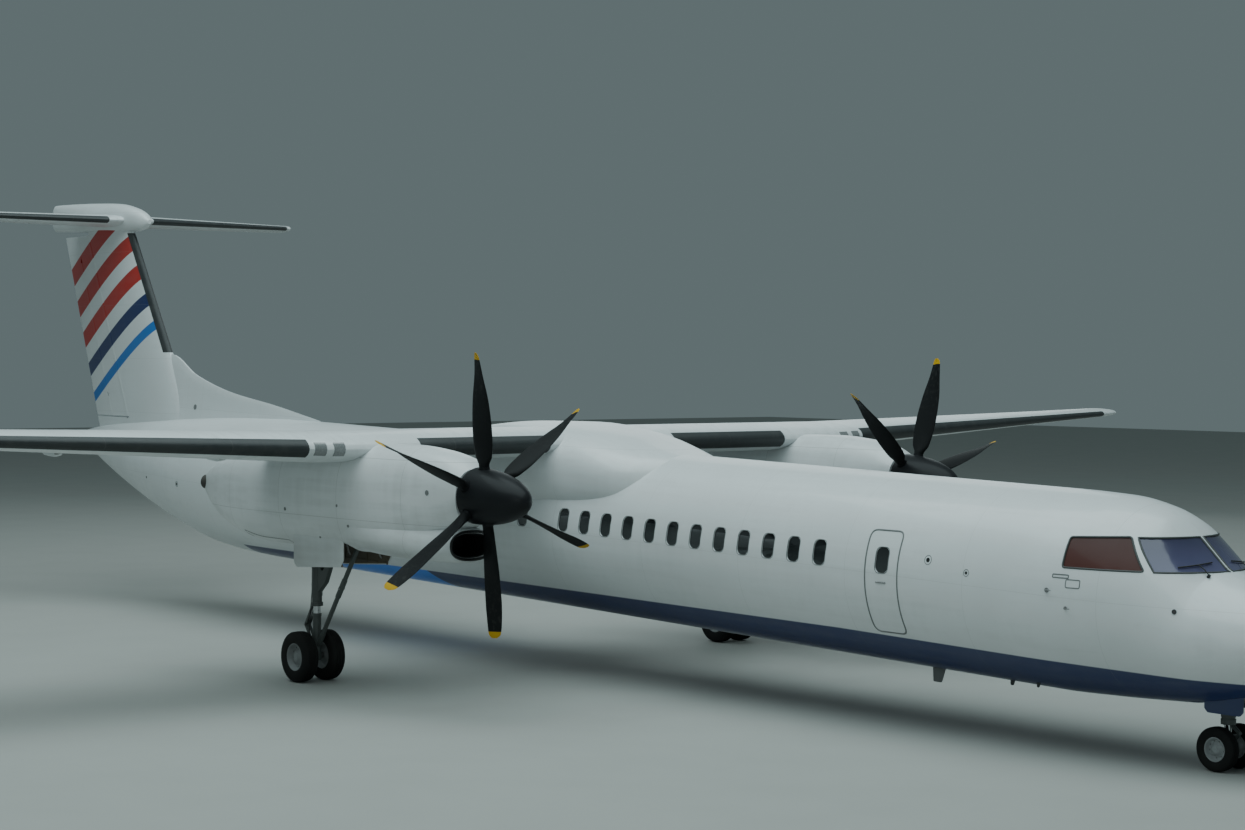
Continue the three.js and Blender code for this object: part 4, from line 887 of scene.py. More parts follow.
# %% Closed doors
DOORS = {
    "emergency_exit_forward": (-1, 10.065, 0.60, -0.76, 1.39, "forward"),
    "passenger_door_aft": (1, -4.30, 0.70, -0.76, 1.64, "aft"),
    "service_door_aft": (-1, -4.30, 0.69, -0.76, 1.52, "aft"),
    "baggage_door_aft": (1, -6.30, 1.27, -0.70, 1.50, "aft"),
}
for name, (side, x, width, sill, height, length) in DOORS.items():
    outline = rounded_outline(door_corners(x, width, sill, height), 0.11)
    dress(skin_bead(outline, side, 0.0135, 0.004), name + "_seal", "seal_rubber")
    handle_drop = 0.55
    if name != "baggage_door_aft":
        handle_drop = 0.30
        pane_in(length, lambda grow: window_cutters([x], side, grow), (x + 1, x - 1),
                WINDOW_DEPTHS, name + "_pane", "cabin_glass")
        dress(skin_bead(window_line(x), side, 0.007), name + "_window_frame", "seal_rubber")
    z = axis_z(x) + WINDOW_HEIGHT - handle_drop
    handle = [(x + at, side * (skin_y(x + at, z) + 0.006), z) for at in (-0.09, -0.03, 0.03, 0.09)]
    dress(bead(handle, 0.011, closed=False), name + "_handle", "dull_steel")
print("closed doors:", ", ".join(DOORS))

# %% [markdown]
# The airstair door is hinged along its sill and drops outwards, so that its steps can be
# climbed. The skin round it needs a true opening with a small entrance hall behind it. The
# leaf is cut from the same smooth hull, and the treads stand on its inner face.

# %% Airstair opening and leaf
STAIR_X, STAIR_WIDTH, STAIR_SILL, STAIR_HEIGHT = 9.99, 0.76, -0.82, 1.66
LEAF_THICK, DOOR_GAP = 0.09, 0.008
HINGE_Y = math.sqrt(HULL_RADIUS**2 - STAIR_SILL**2) + 0.012
HINGE_Z = axis_z(STAIR_X) + STAIR_SILL - 0.014
stair_z = axis_z(STAIR_X)


def stair_corners(grow=0.0):
    return door_corners(STAIR_X, STAIR_WIDTH, STAIR_SILL, STAIR_HEIGHT, grow)


def stair_block(half, y, z, bevel=0.0, x=STAIR_X):
    """A box as wide as twice the half, from one Y and Z to another."""
    return block((x - half, y[0], z[0]), (x + half, y[1], z[1]), bevel)


carve(hull["forward"], pushed(stair_corners(DOOR_GAP), 0.3, 1.8, corner=0.118),
      stair_block(0.39, (-0.40, 1.04), (stair_z - 0.80, stair_z + 0.85), 0.03),
      stair_block(0.33, (HINGE_Y - 0.11, HINGE_Y + 0.08), (HINGE_Z - 0.04, HINGE_Z + 0.09)))
leaf = layer_piece(pushed(stair_corners(), 0.3, 1.8, corner=0.11), 11.0, 9.0, 0.0, LEAF_THICK)
carve(leaf, stair_block(0.31, (HINGE_Y - 0.02, HINGE_Y + 0.08), (HINGE_Z - 0.03, HINGE_Z + 0.012)))
dress(leaf, "airstair_leaf", "hull_paint", body="airstair_door", replaced=("airstair_door",),
      angle=35)
print("airstair opening and leaf")

# %% Treads, side plates and hinge of the airstair
TREADS, TREAD_FIRST, TREAD_PITCH, TREAD_DEEP, TREAD_WIDE = 5, 0.26, 0.27, 0.23, 0.56
treads = []
for i in range(TREADS):
    rise = STAIR_SILL + TREAD_FIRST + i * TREAD_PITCH
    face = math.sqrt(HULL_RADIUS**2 - rise**2) - LEAF_THICK
    z = stair_z + rise
    treads.append(stair_block(TREAD_WIDE / 2, (face - TREAD_DEEP, face + 0.02), (z, z + 0.03),
                              0.006))
dress(weld(treads), "airstair_treads", "step_grip", body="airstair_door")

plates = []
for end in (-1, 1):
    band = stair_block(0.015, (0.3, 1.4), (stair_z + STAIR_SILL + 0.12,
                                           stair_z + STAIR_SILL + STAIR_HEIGHT - 0.12),
                       x=STAIR_X + end * (TREAD_WIDE / 2 - 0.015))
    plates.append(layer_piece(band, 11.0, 9.0, LEAF_THICK - 0.02, LEAF_THICK + 0.09))
dress(weld(plates), "airstair_side_plates", "cabin_trim", body="airstair_door")


def stair_pin(x, half, radius, bevel=0.0):
    return rod((x - half, HINGE_Y, HINGE_Z), (x + half, HINGE_Y, HINGE_Z), radius, bevel=bevel)


knuckles = []
for x in (STAIR_X - 0.25, STAIR_X + 0.25):
    knuckles += [stair_pin(x, 0.04, 0.018, 0.003),
                 stair_block(0.035, (HINGE_Y - 0.06, HINGE_Y + 0.008),
                             (HINGE_Z + 0.002, HINGE_Z + 0.06), 0.004, x)]
dress(weld(knuckles), "airstair_hinges", "dull_steel", body="airstair_door")
dress(stair_pin(STAIR_X, 0.36, 0.0085), "airstair_hinge_pin", "dull_steel")
seal_line = rounded_outline(stair_corners(DOOR_GAP + 0.006), 0.12)
dress(skin_bead(seal_line, 1, 0.007, 0.004), "airstair_opening_seal", "seal_rubber")
print("airstair door with", TREADS, "treads")

# %% [markdown]
# The cockpit. Four thick panes are let into the nose: two windscreens that meet at the centre
# post and one long side window on each side. Their outlines are drawn square from the side,
# and each pane is the layer of the hull inside its outline, sunk a few millimetres below
# the paint. The room for the nose wheels is cut here too.

# %% Cockpit panes
SIDE_WINDOW = [(NOSE - back, axis_z(NOSE - back) + z) for back, z in (
    (3.320, 0.795), (3.296, 0.421), (2.214, 0.452), (2.532, 0.850))]
SCREEN_TOP_REAR, SCREEN_FOOT_REAR, SCREEN_FRONT = NOSE - 2.459, NOSE - 2.111, NOSE - 1.50
HALF_POST, PANE_DEPTHS = 0.035, (-0.03, 0.007, 0.035)
foot_z, head_z = axis_z(NOSE) + 0.50, axis_z(NOSE) + 0.905


def grown(corners, amount):
    """An outline whose corners are moved away from its middle."""
    cx, cz = (sum(c[k] for c in corners) / len(corners) for k in (0, 1))
    return [(x + math.copysign(amount, x - cx), z + math.copysign(amount, z - cz))
            for x, z in corners]


def side_window_cutter(side, grow):
    return pushed(grown(SIDE_WINDOW, grow), *side_span(side, 0.3), corner=0.035)


def screen_cutter(side, grow):
    corners = grown([(SCREEN_TOP_REAR, head_z), (SCREEN_FOOT_REAR, foot_z),
                     (SCREEN_FRONT, foot_z), (SCREEN_FRONT, head_z)], grow)
    return pushed(corners, *side_span(side, HALF_POST - grow, 1.3), corner=0.03)


for word, side in SIDES:
    for make, name, glass in ((side_window_cutter, "side_window_", "curtained_glass"),
                              (screen_cutter, "windscreen_", "windscreen_glass")):
        pane_in("nose", lambda grow: make(side, grow), (NOSE, 12.9), PANE_DEPTHS,
                name + "pane_" + word, glass, (name + word,), 35)
carve(hull["nose"], block((14.42, -0.33, 0.30), (15.26, 0.33, 1.40)),
      inside(block((13.75, -0.33, 0.30), (14.43, 0.33, 1.40)), hull_core(15.0, 13.2, 0.024)))
print("four cockpit panes and the nose wheel well")

# %% Dress the hull
for name, *replaced in (
    ("nose", "fuselage_nose"), ("forward", "fuselage_forward", "emergency_exit_forward"),
    ("center", "fuselage_center"),
    ("aft", "fuselage_aft", "passenger_door_aft", "service_door_aft", "baggage_door_aft"),
    ("tail", "tail_cone"),
):
    dress(hull[name], "hull_" + name, "hull_paint", replaced=replaced, angle=30)
print("five hull lengths")

# %% [markdown]
# Wings, fin and tailplane. All are aerofoils in a row, so one helper lays a grid through any
# rows of points: the grid's columns close into a loop and its first and last rows are filled.
# The aerofoil's points lie closer together near its nose, where it curves most.

# %% Skins through rows of points
def skin_from(rows, closed_round=False):
    """A closed skin through rows of points. Each row is a loop; the end rows are filled."""
    rows = [list(row) + [row[0]] for row in rows]
    if closed_round:
        rows.append(rows[0])
    bpy.ops.mesh.primitive_grid_add(x_subdivisions=len(rows[0]) - 1,
                                    y_subdivisions=len(rows) - 1, size=1)
    obj = bpy.context.object
    for vertex, point in zip(obj.data.vertices, (point for row in rows for point in row)):
        vertex.co = point
    with editing(obj):
        bpy.ops.mesh.remove_doubles(threshold=SAME_POINT)
        if not closed_round:
            bpy.ops.mesh.fill_holes(sides=0)
    return tidy_normals(obj)


def foil_half(thickness, u):
    return 5 * thickness * (0.2969 * math.sqrt(u) - 0.126 * u - 0.3516 * u**2 + 0.2843 * u**3
                            - 0.1015 * u**4)


def table_row(table, at):
    """A row of a table at a distance along it, on straight lines between its rows."""
    after = next(i for i, row in enumerate(table) if i and (row[0] >= at or i == len(table) - 1))
    a, b = table[after - 1], table[after]
    share = (at - a[0]) / (b[0] - a[0])
    return [p + share * (q - p) for p, q in zip(a[1:], b[1:])]


# Rows: place along the span, X and height of the nose, chord and thickness.
WING = [
    (0.0, 2.865, 3.690, 2.665, 0.18), (5.3, 2.865, 3.690, 2.665, 0.18),
    (9.7, 2.330, 3.850, 1.950, 0.16), (13.9, 1.820, 4.004, 1.270, 0.13),
    (14.13, 1.740, 4.012, 1.120, 0.11), (14.21, 1.560, 4.012, 0.760, 0.07),
]
TAILPLANE = [(0.0, -12.860, 7.885, 2.320, 0.11), (4.56, -14.010, 7.925, 1.390, 0.11),
             (4.635, -14.130, 7.925, 1.200, 0.11)]
FIN = [(3.300, -10.180, 0.0, 4.108, 0.1), (7.700, -12.942, 0.0, 3.022, 0.1),
       (7.98, -13.118, 0.0, 2.953, 0.1)]
WING_CAMBER, WING_DROP, FOIL_POINTS, FREE = 0.02, 0.028, 22, 0.008


def foil_line(table, u):
    """How far a foil's middle line rises, in parts of the chord."""
    return 4 * WING_CAMBER * u * (1 - u) - WING_DROP * u if table is WING else 0.0


def foil_loop(table, at):
    """A foil's outline from the trailing edge over the top and back below. The fin stands up."""
    x, z, chord, thickness = table_row(table, abs(at))
    spots = [(1 - math.cos(math.pi * i / FOIL_POINTS)) / 2 for i in range(FOIL_POINTS, 0, -1)]
    loop = [(u, foil_line(table, u) + foil_half(thickness, u)) for u in spots] + [(0.0, 0.0)]
    loop += [(u, foil_line(table, u) - foil_half(thickness, u)) for u in reversed(spots)]
    if table is FIN:
        return [(x - u * chord, up * chord, at) for u, up in loop]
    return [(x - u * chord, at, z + up * chord) for u, up in loop]


def on_foil(table, at, part):
    """The middle of the foil at a part of its chord, and half its thickness there."""
    x, z, chord, thickness = table_row(table, at)
    z += foil_line(table, part) * chord
    place = (x - part * chord, 0.0, at) if table is FIN else (x - part * chord, at, z)
    return place, foil_half(thickness, part) * chord


def foil_skin(table, *stations):
    return skin_from([foil_loop(table, at) for at in stations])


print("foil helpers ready")

# %% [markdown]
# A surface that turns is cut from the same skin as the part before it, so that it closes
# flush. It gets a round nose, a rod along its hinge line. The part before it gets a cove: it
# loses everything behind the surface's sweep and a slightly thicker rod.

# %% Hinged surfaces
def hinge_of(table, part, *ends):
    """A hinge line's two ends, and half the foil's thickness at each."""
    return zip(*(on_foil(table, at, part) for at in ends))


def behind(line, ahead=0.0, gap=0.0):
    """Everything behind a hinge line that runs along Y, or up in the fin."""
    in_fin = line[0][1] == line[1][1]
    along, rear = (2 if in_fin else 1), -18.0
    a, b = line
    corners = [(a[0] + ahead, a[along] - gap), (b[0] + ahead, b[along] + gap),
               (rear, b[along] + gap), (rear, a[along] - gap)]
    return pushed(corners, -0.7, 0.7) if in_fin else pushed(corners, 2.9, 9.0, "z")


def hinge_nose(line, radii, extra=0.0, ends=0.0):
    a, b = (Vector(p) for p in line)
    reach = (b - a).normalized() * ends
    return rod(a - reach, b + reach, radii[0] + extra, radii[1] + extra, sides=40)


def cove(line, radii, degrees, gap=FREE):
    sweep = math.sin(math.radians(degrees)) * radii[0] + FREE
    return behind(line, sweep, gap), hinge_nose(line, radii, FREE, gap)


def hinged(piece, line, nose):
    return united(inside(piece, behind(line)), nose)


print("hinge helpers ready")

# %% [markdown]
# The wing is one skin from break to break in the middle and one outside each break. The flaps
# leave a narrow slot before them.

# %% Wing
FLAP_PART, AILERON_PART, FLAP_SLOT, FLAP_END, WING_BREAK = 0.71, 0.74, 0.010, 0.014, 5.3
FLAPS = {"inner": (1.56, 3.66, 1.96, 3.26), "outer": (5.34, 9.56, 6.10, 8.80)}


def flap_zone(y0, y1, ahead=0.0):
    return behind([on_foil(WING, y, FLAP_PART)[0] for y in (y0, y1)], ahead)


center = foil_skin(WING, -WING_BREAK, -2.6, 0.0, 2.6, WING_BREAK)
inner_ends = FLAPS["inner"][:2]
carve(center, flap_zone(*inner_ends, FLAP_SLOT), flipped(flap_zone(*inner_ends, FLAP_SLOT)))
dress(center, "wing_skin_center", "wing_paint", replaced=("wing_center",), angle=28)

line, radii = hinge_of(WING, AILERON_PART, 9.7, 13.8)
outer = foil_skin(WING, 5.3004, 7.5, 9.7, 11.8, 13.9, 13.98, 14.13, 14.18, 14.21)
carve(outer, flap_zone(*FLAPS["outer"][:2], FLAP_SLOT), *cove(line, radii, 20))
both_sides(outer, "wing_skin_outer", "wing_paint", replaced=["wing_outer_SIDE"], angle=28)
aileron = hinged(foil_skin(WING, 9.7, 11.8, 13.8), line, hinge_nose(line, radii))
both_sides(aileron, "aileron_skin", "wing_paint", body="aileron_SIDE",
           replaced=["aileron_SIDE"], angle=28)
for name, (y0, y1, *_) in FLAPS.items():
    flap = foil_skin(WING, y0 + FLAP_END, (y0 + y1) / 2, y1 - FLAP_END)
    inside(flap, flap_zone(y0 + FLAP_END, y1 - FLAP_END))
    both_sides(flap, f"flap_skin_{name}", "wing_paint", body=f"flap_{name}_SIDE",
               replaced=[f"flap_{name}_SIDE"], angle=28)
print("wing: centre, two outer lengths, two ailerons, four flaps")

# %% [markdown]
# Each flap hangs on two arms in slim fairings below the wing, and each arm's pin is held by
# a lug on the wing beside it. All are flat outlines pushed sideways, with bevelled edges.

# %% Flap arms and lugs
ARM_DROP, ARM_HALF, ARM_LONG, LUG_THICK = 0.055, 0.030, 0.420, 0.030
ARM = [(0.03, -0.03), (0.03, 0.03), (-0.02, 0.04), (-0.04, ARM_DROP + 0.04),
       (-ARM_LONG, ARM_DROP + 0.04), (-ARM_LONG - 0.16, 0.05), (-ARM_LONG, -0.04), (-0.15, -0.06)]
LUG = [(0.26, ARM_DROP + 0.06), (0.22, 0.03), (0.04, -0.025), (-0.02, -0.025), (-0.02, 0.02),
       (0.012, 0.046), (0.012, ARM_DROP + 0.06)]
for name, (y0, y1, *places) in FLAPS.items():
    arms, lugs = [], []
    for y in places:
        (x, _, z), half = on_foil(WING, y, FLAP_PART)
        x, z, side = x + FLAP_SLOT / 2, z - half - ARM_DROP, y + ARM_HALF + FREE
        arms.append(rounded_plate([(x + dx, z + dz) for dx, dz in ARM], y - ARM_HALF,
                                  y + ARM_HALF, 0.012, 0.008))
        lugs += [rounded_plate([(x + dx, z + dz) for dx, dz in LUG], side, side + LUG_THICK,
                               0.006, 0.004),
                 rod((x, y - 0.034, z), (x, side + LUG_THICK + 0.006, z), 0.012, sides=16)]
    both_sides(weld(arms), f"flap_arms_{name}", "wing_paint", body=f"flap_{name}_SIDE", angle=0)
    both_sides(weld(lugs), f"flap_lugs_{name}", "dull_steel", angle=0)
print("eight flap arms with their lugs")

# %% [markdown]
# Fin and rudder. The rudder has two parts in a row, and the second turns on the first, so each
# part has a round nose and the part before it a cove. Two brackets join the parts. A crest
# runs forward along the back.

# %% Fin and rudder
RUDDER_Z, RUDDER_GAP, FIN_FOOT, FIN_TOP = (3.78, 7.62), 0.028, 3.3, 7.98
fore_line, fore_radii = hinge_of(FIN, 0.60, *RUDDER_Z)
rear_line, rear_radii = hinge_of(FIN, 0.80, *RUDDER_Z)
fin = foil_skin(FIN, FIN_FOOT, 5.0, 6.5, FIN_TOP)
rudder_top_x = on_foil(FIN, 7.7, 0.60)[0][0] + 0.06
carve(fin, *cove(fore_line, fore_radii, 18, RUDDER_GAP),
      block((-16.5, -0.4, 7.6), (rudder_top_x, 0.4, 8.1)), hull_core(-7.4, TAIL_END, 0.02))
dress(fin, "fin_skin", "fin_paint", replaced=("fin",), angle=28)


def rudder_piece(line, radii):
    nose = hinge_nose(line, radii, 0.0, 0.02)
    inside(nose, block((-17, -0.6, RUDDER_Z[0]), (-11, 0.6, RUDDER_Z[1])))
    return hinged(foil_skin(FIN, RUDDER_Z[0], 5.0, 6.5, RUDDER_Z[1]), line, nose)


rudder_fore = rudder_piece(fore_line, fore_radii)
carve(rudder_fore, *cove(rear_line, rear_radii, 18))
rudder_rear = rudder_piece(rear_line, rear_radii)
foot = Vector(rear_line[0])
hinge_run = (Vector(rear_line[1]) - foot).normalized()
brackets = []
for middle in (foot + hinge_run * 0.5, foot + hinge_run * 3.6):
    x, _, z = middle
    carve(rudder_rear, block((x - 0.034, -0.2, z - 0.042), (x + 0.2, 0.2, z + 0.042)))
    brackets += [rod(middle - hinge_run * 0.025, middle + hinge_run * 0.025, 0.022, bevel=0.003),
                 rod(middle - hinge_run * 0.075, middle + hinge_run * 0.075, 0.011),
                 rod((x, 0, z), (x + 0.17, 0, z), 0.014)]
dress(weld(brackets), "rudder_hinge_brackets", "dull_steel", body="rudder_fore")
dress(rudder_fore, "rudder_skin_fore", "fin_paint", body="rudder_fore",
      replaced=("rudder_fore",), angle=28)
dress(rudder_rear, "rudder_skin_rear", "fin_paint", body="rudder_trailing",
      replaced=("rudder_rear",), angle=28)

# Rows: X, top and half width. The crest's section is given in parts of both.
DORSAL = [(-5.765, 3.84, 0.06), (-7.4, 4.11, 0.11), (-9.015, 4.34, 0.14), (-10.3, 4.66, 0.165),
          (-11.3, 5.08, 0.185), (-12.1, 5.08, 0.185)]
DORSAL_FOOT, DORSAL_STEP = 3.5, 0.15
CREST = [(1.0, 0.0), (0.72, 0.26), (0.5, 0.5), (0.37, 0.70), (0.28, 0.86), (0.20, 0.95),
         (0.10, 1.0)]


def crest_loop(x):
    top, half = smooth_through(DORSAL, x)
    side = [(out * half, DORSAL_FOOT + up * (top - DORSAL_FOOT)) for out, up in CREST]
    return [(x, y, z) for y, z in side + [(-y, z) for y, z in reversed(side)]]


crest = skin_from([crest_loop(DORSAL[0][0] - DORSAL_STEP * i) for i in range(43)])
dress(crest, "dorsal_crest", "hull_paint", angle=50)
print("fin, crest and two rudder parts")

# %% [markdown]
# Tailplane, elevators and the long bullet fairing that joins them to the fin. The bullet and
# the fairing over the fuselage are lofts through tables of X, half width, top and bottom.

# %% Tailplane and fairings
ELEVATOR_PART, ELEVATOR_Y = 0.62, (0.33, 4.4)
line, radii = hinge_of(TAILPLANE, ELEVATOR_PART, *ELEVATOR_Y)
tailplane = foil_skin(TAILPLANE, -4.635, -4.6, -4.56, -2.3, 0.0, 2.3, 4.56, 4.6, 4.635)
carve(tailplane, *cove(line, radii, 25), *(flipped(tool) for tool in cove(line, radii, 25)))
dress(tailplane, "tailplane_skin", "wing_paint", replaced=("tailplane",), angle=28)
elevator = hinged(foil_skin(TAILPLANE, ELEVATOR_Y[0], 2.3, ELEVATOR_Y[1]), line,
                  hinge_nose(line, radii))
both_sides(elevator, "elevator_skin", "wing_paint", body="elevator_SIDE",
           replaced=["elevator_SIDE"], angle=28)

BULLET = [
    (-12.24, 0.04, 7.87, 7.79), (-12.4, 0.13, 8.0, 7.7), (-12.8, 0.205, 8.14, 7.65),
    (-13.4, 0.24, 8.25, 7.65), (-14.3, 0.24, 8.3, 7.68), (-15.3, 0.2, 8.33, 7.72),
    (-16.0, 0.15, 8.34, 7.75), (-16.355, 0.11, 8.34, 7.765), (-16.415, 0.06, 8.28, 7.83),
]
FAIRING = [
    (4.9, 0.55, 3.50, 2.75), (4.5, 0.98, 3.60, 2.62), (4.1, 1.17, 3.70, 2.55),
    (3.5, 1.27, 3.86, 2.48), (2.9, 1.31, 3.96, 2.44), (2.2, 1.33, 4.02, 2.42),
    (1.0, 1.33, 4.01, 2.44), (0.2, 1.31, 3.95, 2.48), (-0.6, 1.25, 3.85, 2.58),
    (-1.4, 1.12, 3.72, 2.75), (-1.9, 0.95, 3.63, 2.90), (-2.4, 0.60, 3.56, 3.10),
]


def table_loft(table, step, square, sides=48, y=0.0):
    """A loft with a smooth curve through a table of X, half width, top and bottom."""
    front, rear = table[0][0], table[-1][0]
    count = round((front - rear) / step)
    spots = {round(front - (front - rear) * i / count, 4) for i in range(count + 1)}
    rings = []
    for x in sorted(spots | {row[0] for row in table}, reverse=True):
        if not rings or rings[-1][0] - x >= 0.015:
            half, top, bottom = smooth_through(table, x)
            rings.append((x, y, (top + bottom) / 2, half, (top - bottom) / 2))
    return ring_loft(rings, sides, square)


dress(table_loft(BULLET, 0.16, 0.85), "bullet_skin", "hull_paint", replaced=("bullet_fairing",),
      angle=30)
dress(table_loft(FAIRING, 0.16, 0.8, 64), "wing_fairing_skin", "hull_paint",
      replaced=("wing_fairing",), angle=30)
print("tailplane, bullet and wing fairing")

# %% [markdown]
# De-icing boots. A boot is a thin sheet that wraps the leading edge: an outer and an inner
# line of the aerofoil close to its nose make the loop, and the loop runs along the span.
# The same strips, much shorter, make the glass of the landing lights.

# %% Boots and landing lights
STRIP_SUNK = 0.004


def strip_loop(table, at, reach, out):
    """The part of a foil's loop near its nose, as a thin closed sheet round it."""
    loop = [Vector(point) for point in foil_loop(table, at)]
    nose = loop[len(loop) // 2]
    chord = (loop[0] - nose).length
    across = Vector((0, 0, 1)) if table is FIN else Vector((0, 1, 0))
    outside, within = [], []
    for i in range(1, len(loop) - 1):
        if (loop[i] - nose).length <= reach * chord:
            normal = (loop[i + 1] - loop[i - 1]).normalized().cross(across).normalized()
            if normal.dot(loop[i] - nose - Vector((-0.3 * chord, 0, 0))) < 0:
                normal = -normal
            outside.append(tuple(loop[i] + normal * out))
            within.append(tuple(loop[i] - normal * STRIP_SUNK))
    return outside + within[::-1]


def strip(table, stations, reach, name, paint="boot_rubber", out=0.0025):
    obj = skin_from([strip_loop(table, at, reach, out) for at in stations])
    dress(obj, name, paint, angle=40)


for word, side in SIDES:
    for name, table, stations, reach in (
        ("wing_boot_inner_", WING, (1.30, 2.5, 3.80), 0.075),
        ("wing_boot_outer_", WING, (5.75, 7.7, 9.7, 11.7, 13.6), 0.085),
        ("tail_boot_", TAILPLANE, (0.52, 2.4, 4.45), 0.07),
    ):
        strip(table, [side * y for y in stations], reach, name + word)
    for k, y in enumerate((5.16, 5.47)):
        strip(WING, [side * y, side * (y + 0.19)], 0.055, f"landing_light_{k}_{word}",
              "landing_glass", 0.008)
strip(FIN, [5.12, 6.3, 7.62], 0.06, "fin_boot")
print("boots on wing, tailplane and fin")

# %% [markdown]
# Nacelles. Each is a loft with squarish rings, joined with the chin below the spinner that
# feeds the engine and its oil cooler. The throat, the wheel well, room for the leg and the
# shaft, and the exhaust are cut out of it. All of it is copied to the other side.

# %% Nacelles
ENGINE_Y, PROPELLER_X, PROPELLER_Z, PROPELLER_TILT = 4.4, 5.3, HUB_Z, 0.04
NACELLE = [
    (5.105, 0.395, 3.48, 2.695), (4.85, 0.45, 3.615, 2.6), (4.3, 0.51, 3.72, 2.4),
    (3.6, 0.55, 3.77, 2.21), (2.8, 0.572, 3.765, 2.13), (1.9, 0.58, 3.76, 2.11),
    (0.9, 0.575, 3.745, 2.11), (0.0, 0.555, 3.69, 2.11), (-0.8, 0.48, 3.59, 2.18),
    (-1.6, 0.33, 3.43, 2.39), (-2.0, 0.23, 3.27, 2.6), (-2.25, 0.15, 3.13, 2.81),
]
CHIN = [(4.96, 0.388, 2.595, 2.145), (4.88, 0.415, 2.62, 2.115), (4.3, 0.465, 2.66, 2.095),
        (3.5, 0.52, 2.72, 2.095), (2.7, 0.53, 2.76, 2.13), (2.15, 0.45, 2.58, 2.19)]
NACELLE_SQUARE, NACELLE_SIDES, LIP, THROAT_SIDES = 0.82, 64, 0.045, 48
EXHAUST_FROM, EXHAUST_TO = Vector((-1.5, 4.37, 2.975)), Vector((-2.5, 4.56, 2.985))
EXHAUST_RADIUS = 0.118


def nacelle_loft(inset=0.0):
    rows = [(x, half - inset, top - inset, foot + inset) for x, half, top, foot in NACELLE]
    return table_loft(rows, 0.15, NACELLE_SQUARE, NACELLE_SIDES, ENGINE_Y)


def wide_block(x0, x1, half, z0, z1, bevel=0.0, y=ENGINE_Y):
    """A box with its middle on the engine's own plane."""
    return block((x0, y - half, z0), (x1, y + half, z1), bevel)


nacelle = nacelle_loft()
for vertex in nacelle.data.vertices:
    if vertex.co.x > 5.0:
        vertex.co.x += PROPELLER_TILT * (vertex.co.z - PROPELLER_Z)
united(nacelle, table_loft(CHIN, 0.2, NACELLE_SQUARE, NACELLE_SIDES, ENGINE_Y))
chin_x, chin_half, chin_top, chin_foot = CHIN[0]
chin_z, chin_tall = (chin_top + chin_foot) / 2, (chin_top - chin_foot) / 2
throat_rings = [
    (chin_x + at, ENGINE_Y, chin_z, (chin_half - LIP) * part, (chin_tall - LIP) * part)
    for at, part in ((0.01, 1.0), (-0.03, 0.99), (-0.06, 0.975), (-0.62, 0.8))]
carve(nacelle, ring_loft(throat_rings, THROAT_SIDES, NACELLE_SQUARE),
      inside(wide_block(-0.7, 0.96, 0.4, 1.5, 2.9), nacelle_loft(0.024)),
      wide_block(0.95, 2.4, 0.4, 1.5, 2.9), wide_block(0.78, 0.97, 0.14, 1.5, 2.8),
      rod((4.6, ENGINE_Y, PROPELLER_Z), (5.3, ENGINE_Y, PROPELLER_Z), 0.165),
      rod(EXHAUST_FROM, EXHAUST_TO, EXHAUST_RADIUS, sides=40))
both_sides(nacelle, "nacelle_skin", "nacelle_paint", replaced=["nacelle_SIDE"], angle=30)

lip_line = []
for angle in (2 * math.pi * i / 48 for i in range(48)):
    y = ENGINE_Y + (chin_half - LIP / 2) * power(math.cos(angle), NACELLE_SQUARE)
    z = chin_z + (chin_tall - LIP / 2) * power(math.sin(angle), NACELLE_SQUARE)
    lip_line.append((chin_x + 0.004, y, z))
both_sides(bead(lip_line, 0.021), "intake_lip", "black_trim")
# The throat gets a thin black lining, which is painted shade deep in the intake.
outer, inner = (
    ring_loft([(x + (k * 0.02 + 0.01) * open_end, y, z, wide - thin, tall - thin)
               for k, (x, y, z, wide, tall) in enumerate(throat_rings[1:])],
              THROAT_SIDES, NACELLE_SQUARE)
    for thin, open_end in ((0.003, 0), (0.010, 1)))
both_sides(carve(outer, inner), "intake_throat", "black_trim")

pipe_run = (EXHAUST_TO - EXHAUST_FROM).normalized()
pipe = rod(EXHAUST_FROM + pipe_run * 0.01, EXHAUST_FROM + pipe_run * 0.76,
           EXHAUST_RADIUS - 0.003, sides=40)
carve(pipe, rod(EXHAUST_FROM + pipe_run * 0.04, EXHAUST_TO, EXHAUST_RADIUS - 0.013, sides=40))
both_sides(pipe, "exhaust_pipe", "soot")
print("two nacelles with intakes, wells and exhausts")

# %% [markdown]
# Propellers. The spinner is a pointed shell with a round hole for each blade. A blade is a
# row of thin sections, twisted most near the root and swept at the tip. One blade is made
# straight up, and its copies are turned round the propeller's own slightly drooping axis.

# %% Propellers
SPINNER_REAR, SPINNER_TIP, SPINNER_RADIUS, SPINNER_ROUND = -0.16, 0.965, 0.408, 0.53
# Rows: radius, chord, thickness, twist and sweep.
BLADE = [
    (0.205, 0.15, 0.15, 0.0, 0.0), (0.43, 0.155, 0.145, 0.0, 0.0), (0.56, 0.30, 0.10, 10.0, 0.005),
    (0.76, 0.375, 0.062, 9.0, 0.010), (1.05, 0.405, 0.044, 5.0, 0.015),
    (1.4, 0.375, 0.03, -1.0, 0.018), (1.75, 0.285, 0.02, -13.0, 0.010),
    (2.0, 0.205, 0.011, -19.0, -0.010), (2.055, 0.09, 0.006, -20.0, -0.030),
]
BLADE_STATIONS = [0.205, 0.35, 0.43, 0.47, 0.51, 0.56, 0.62, 0.69, 0.76, 0.86, 0.96, 1.05, 1.17,
                  1.29, 1.4, 1.52, 1.64, 1.75, 1.84, 1.92, 1.97, 2.0, 2.02, 2.036, 2.047, 2.055]
BLADE_COUNT, BLADE_ROOT, BLADE_POINTS = 6, 0.43, 20
PARKED_TURN = {"port": 13.5, "starboard": -6.66}


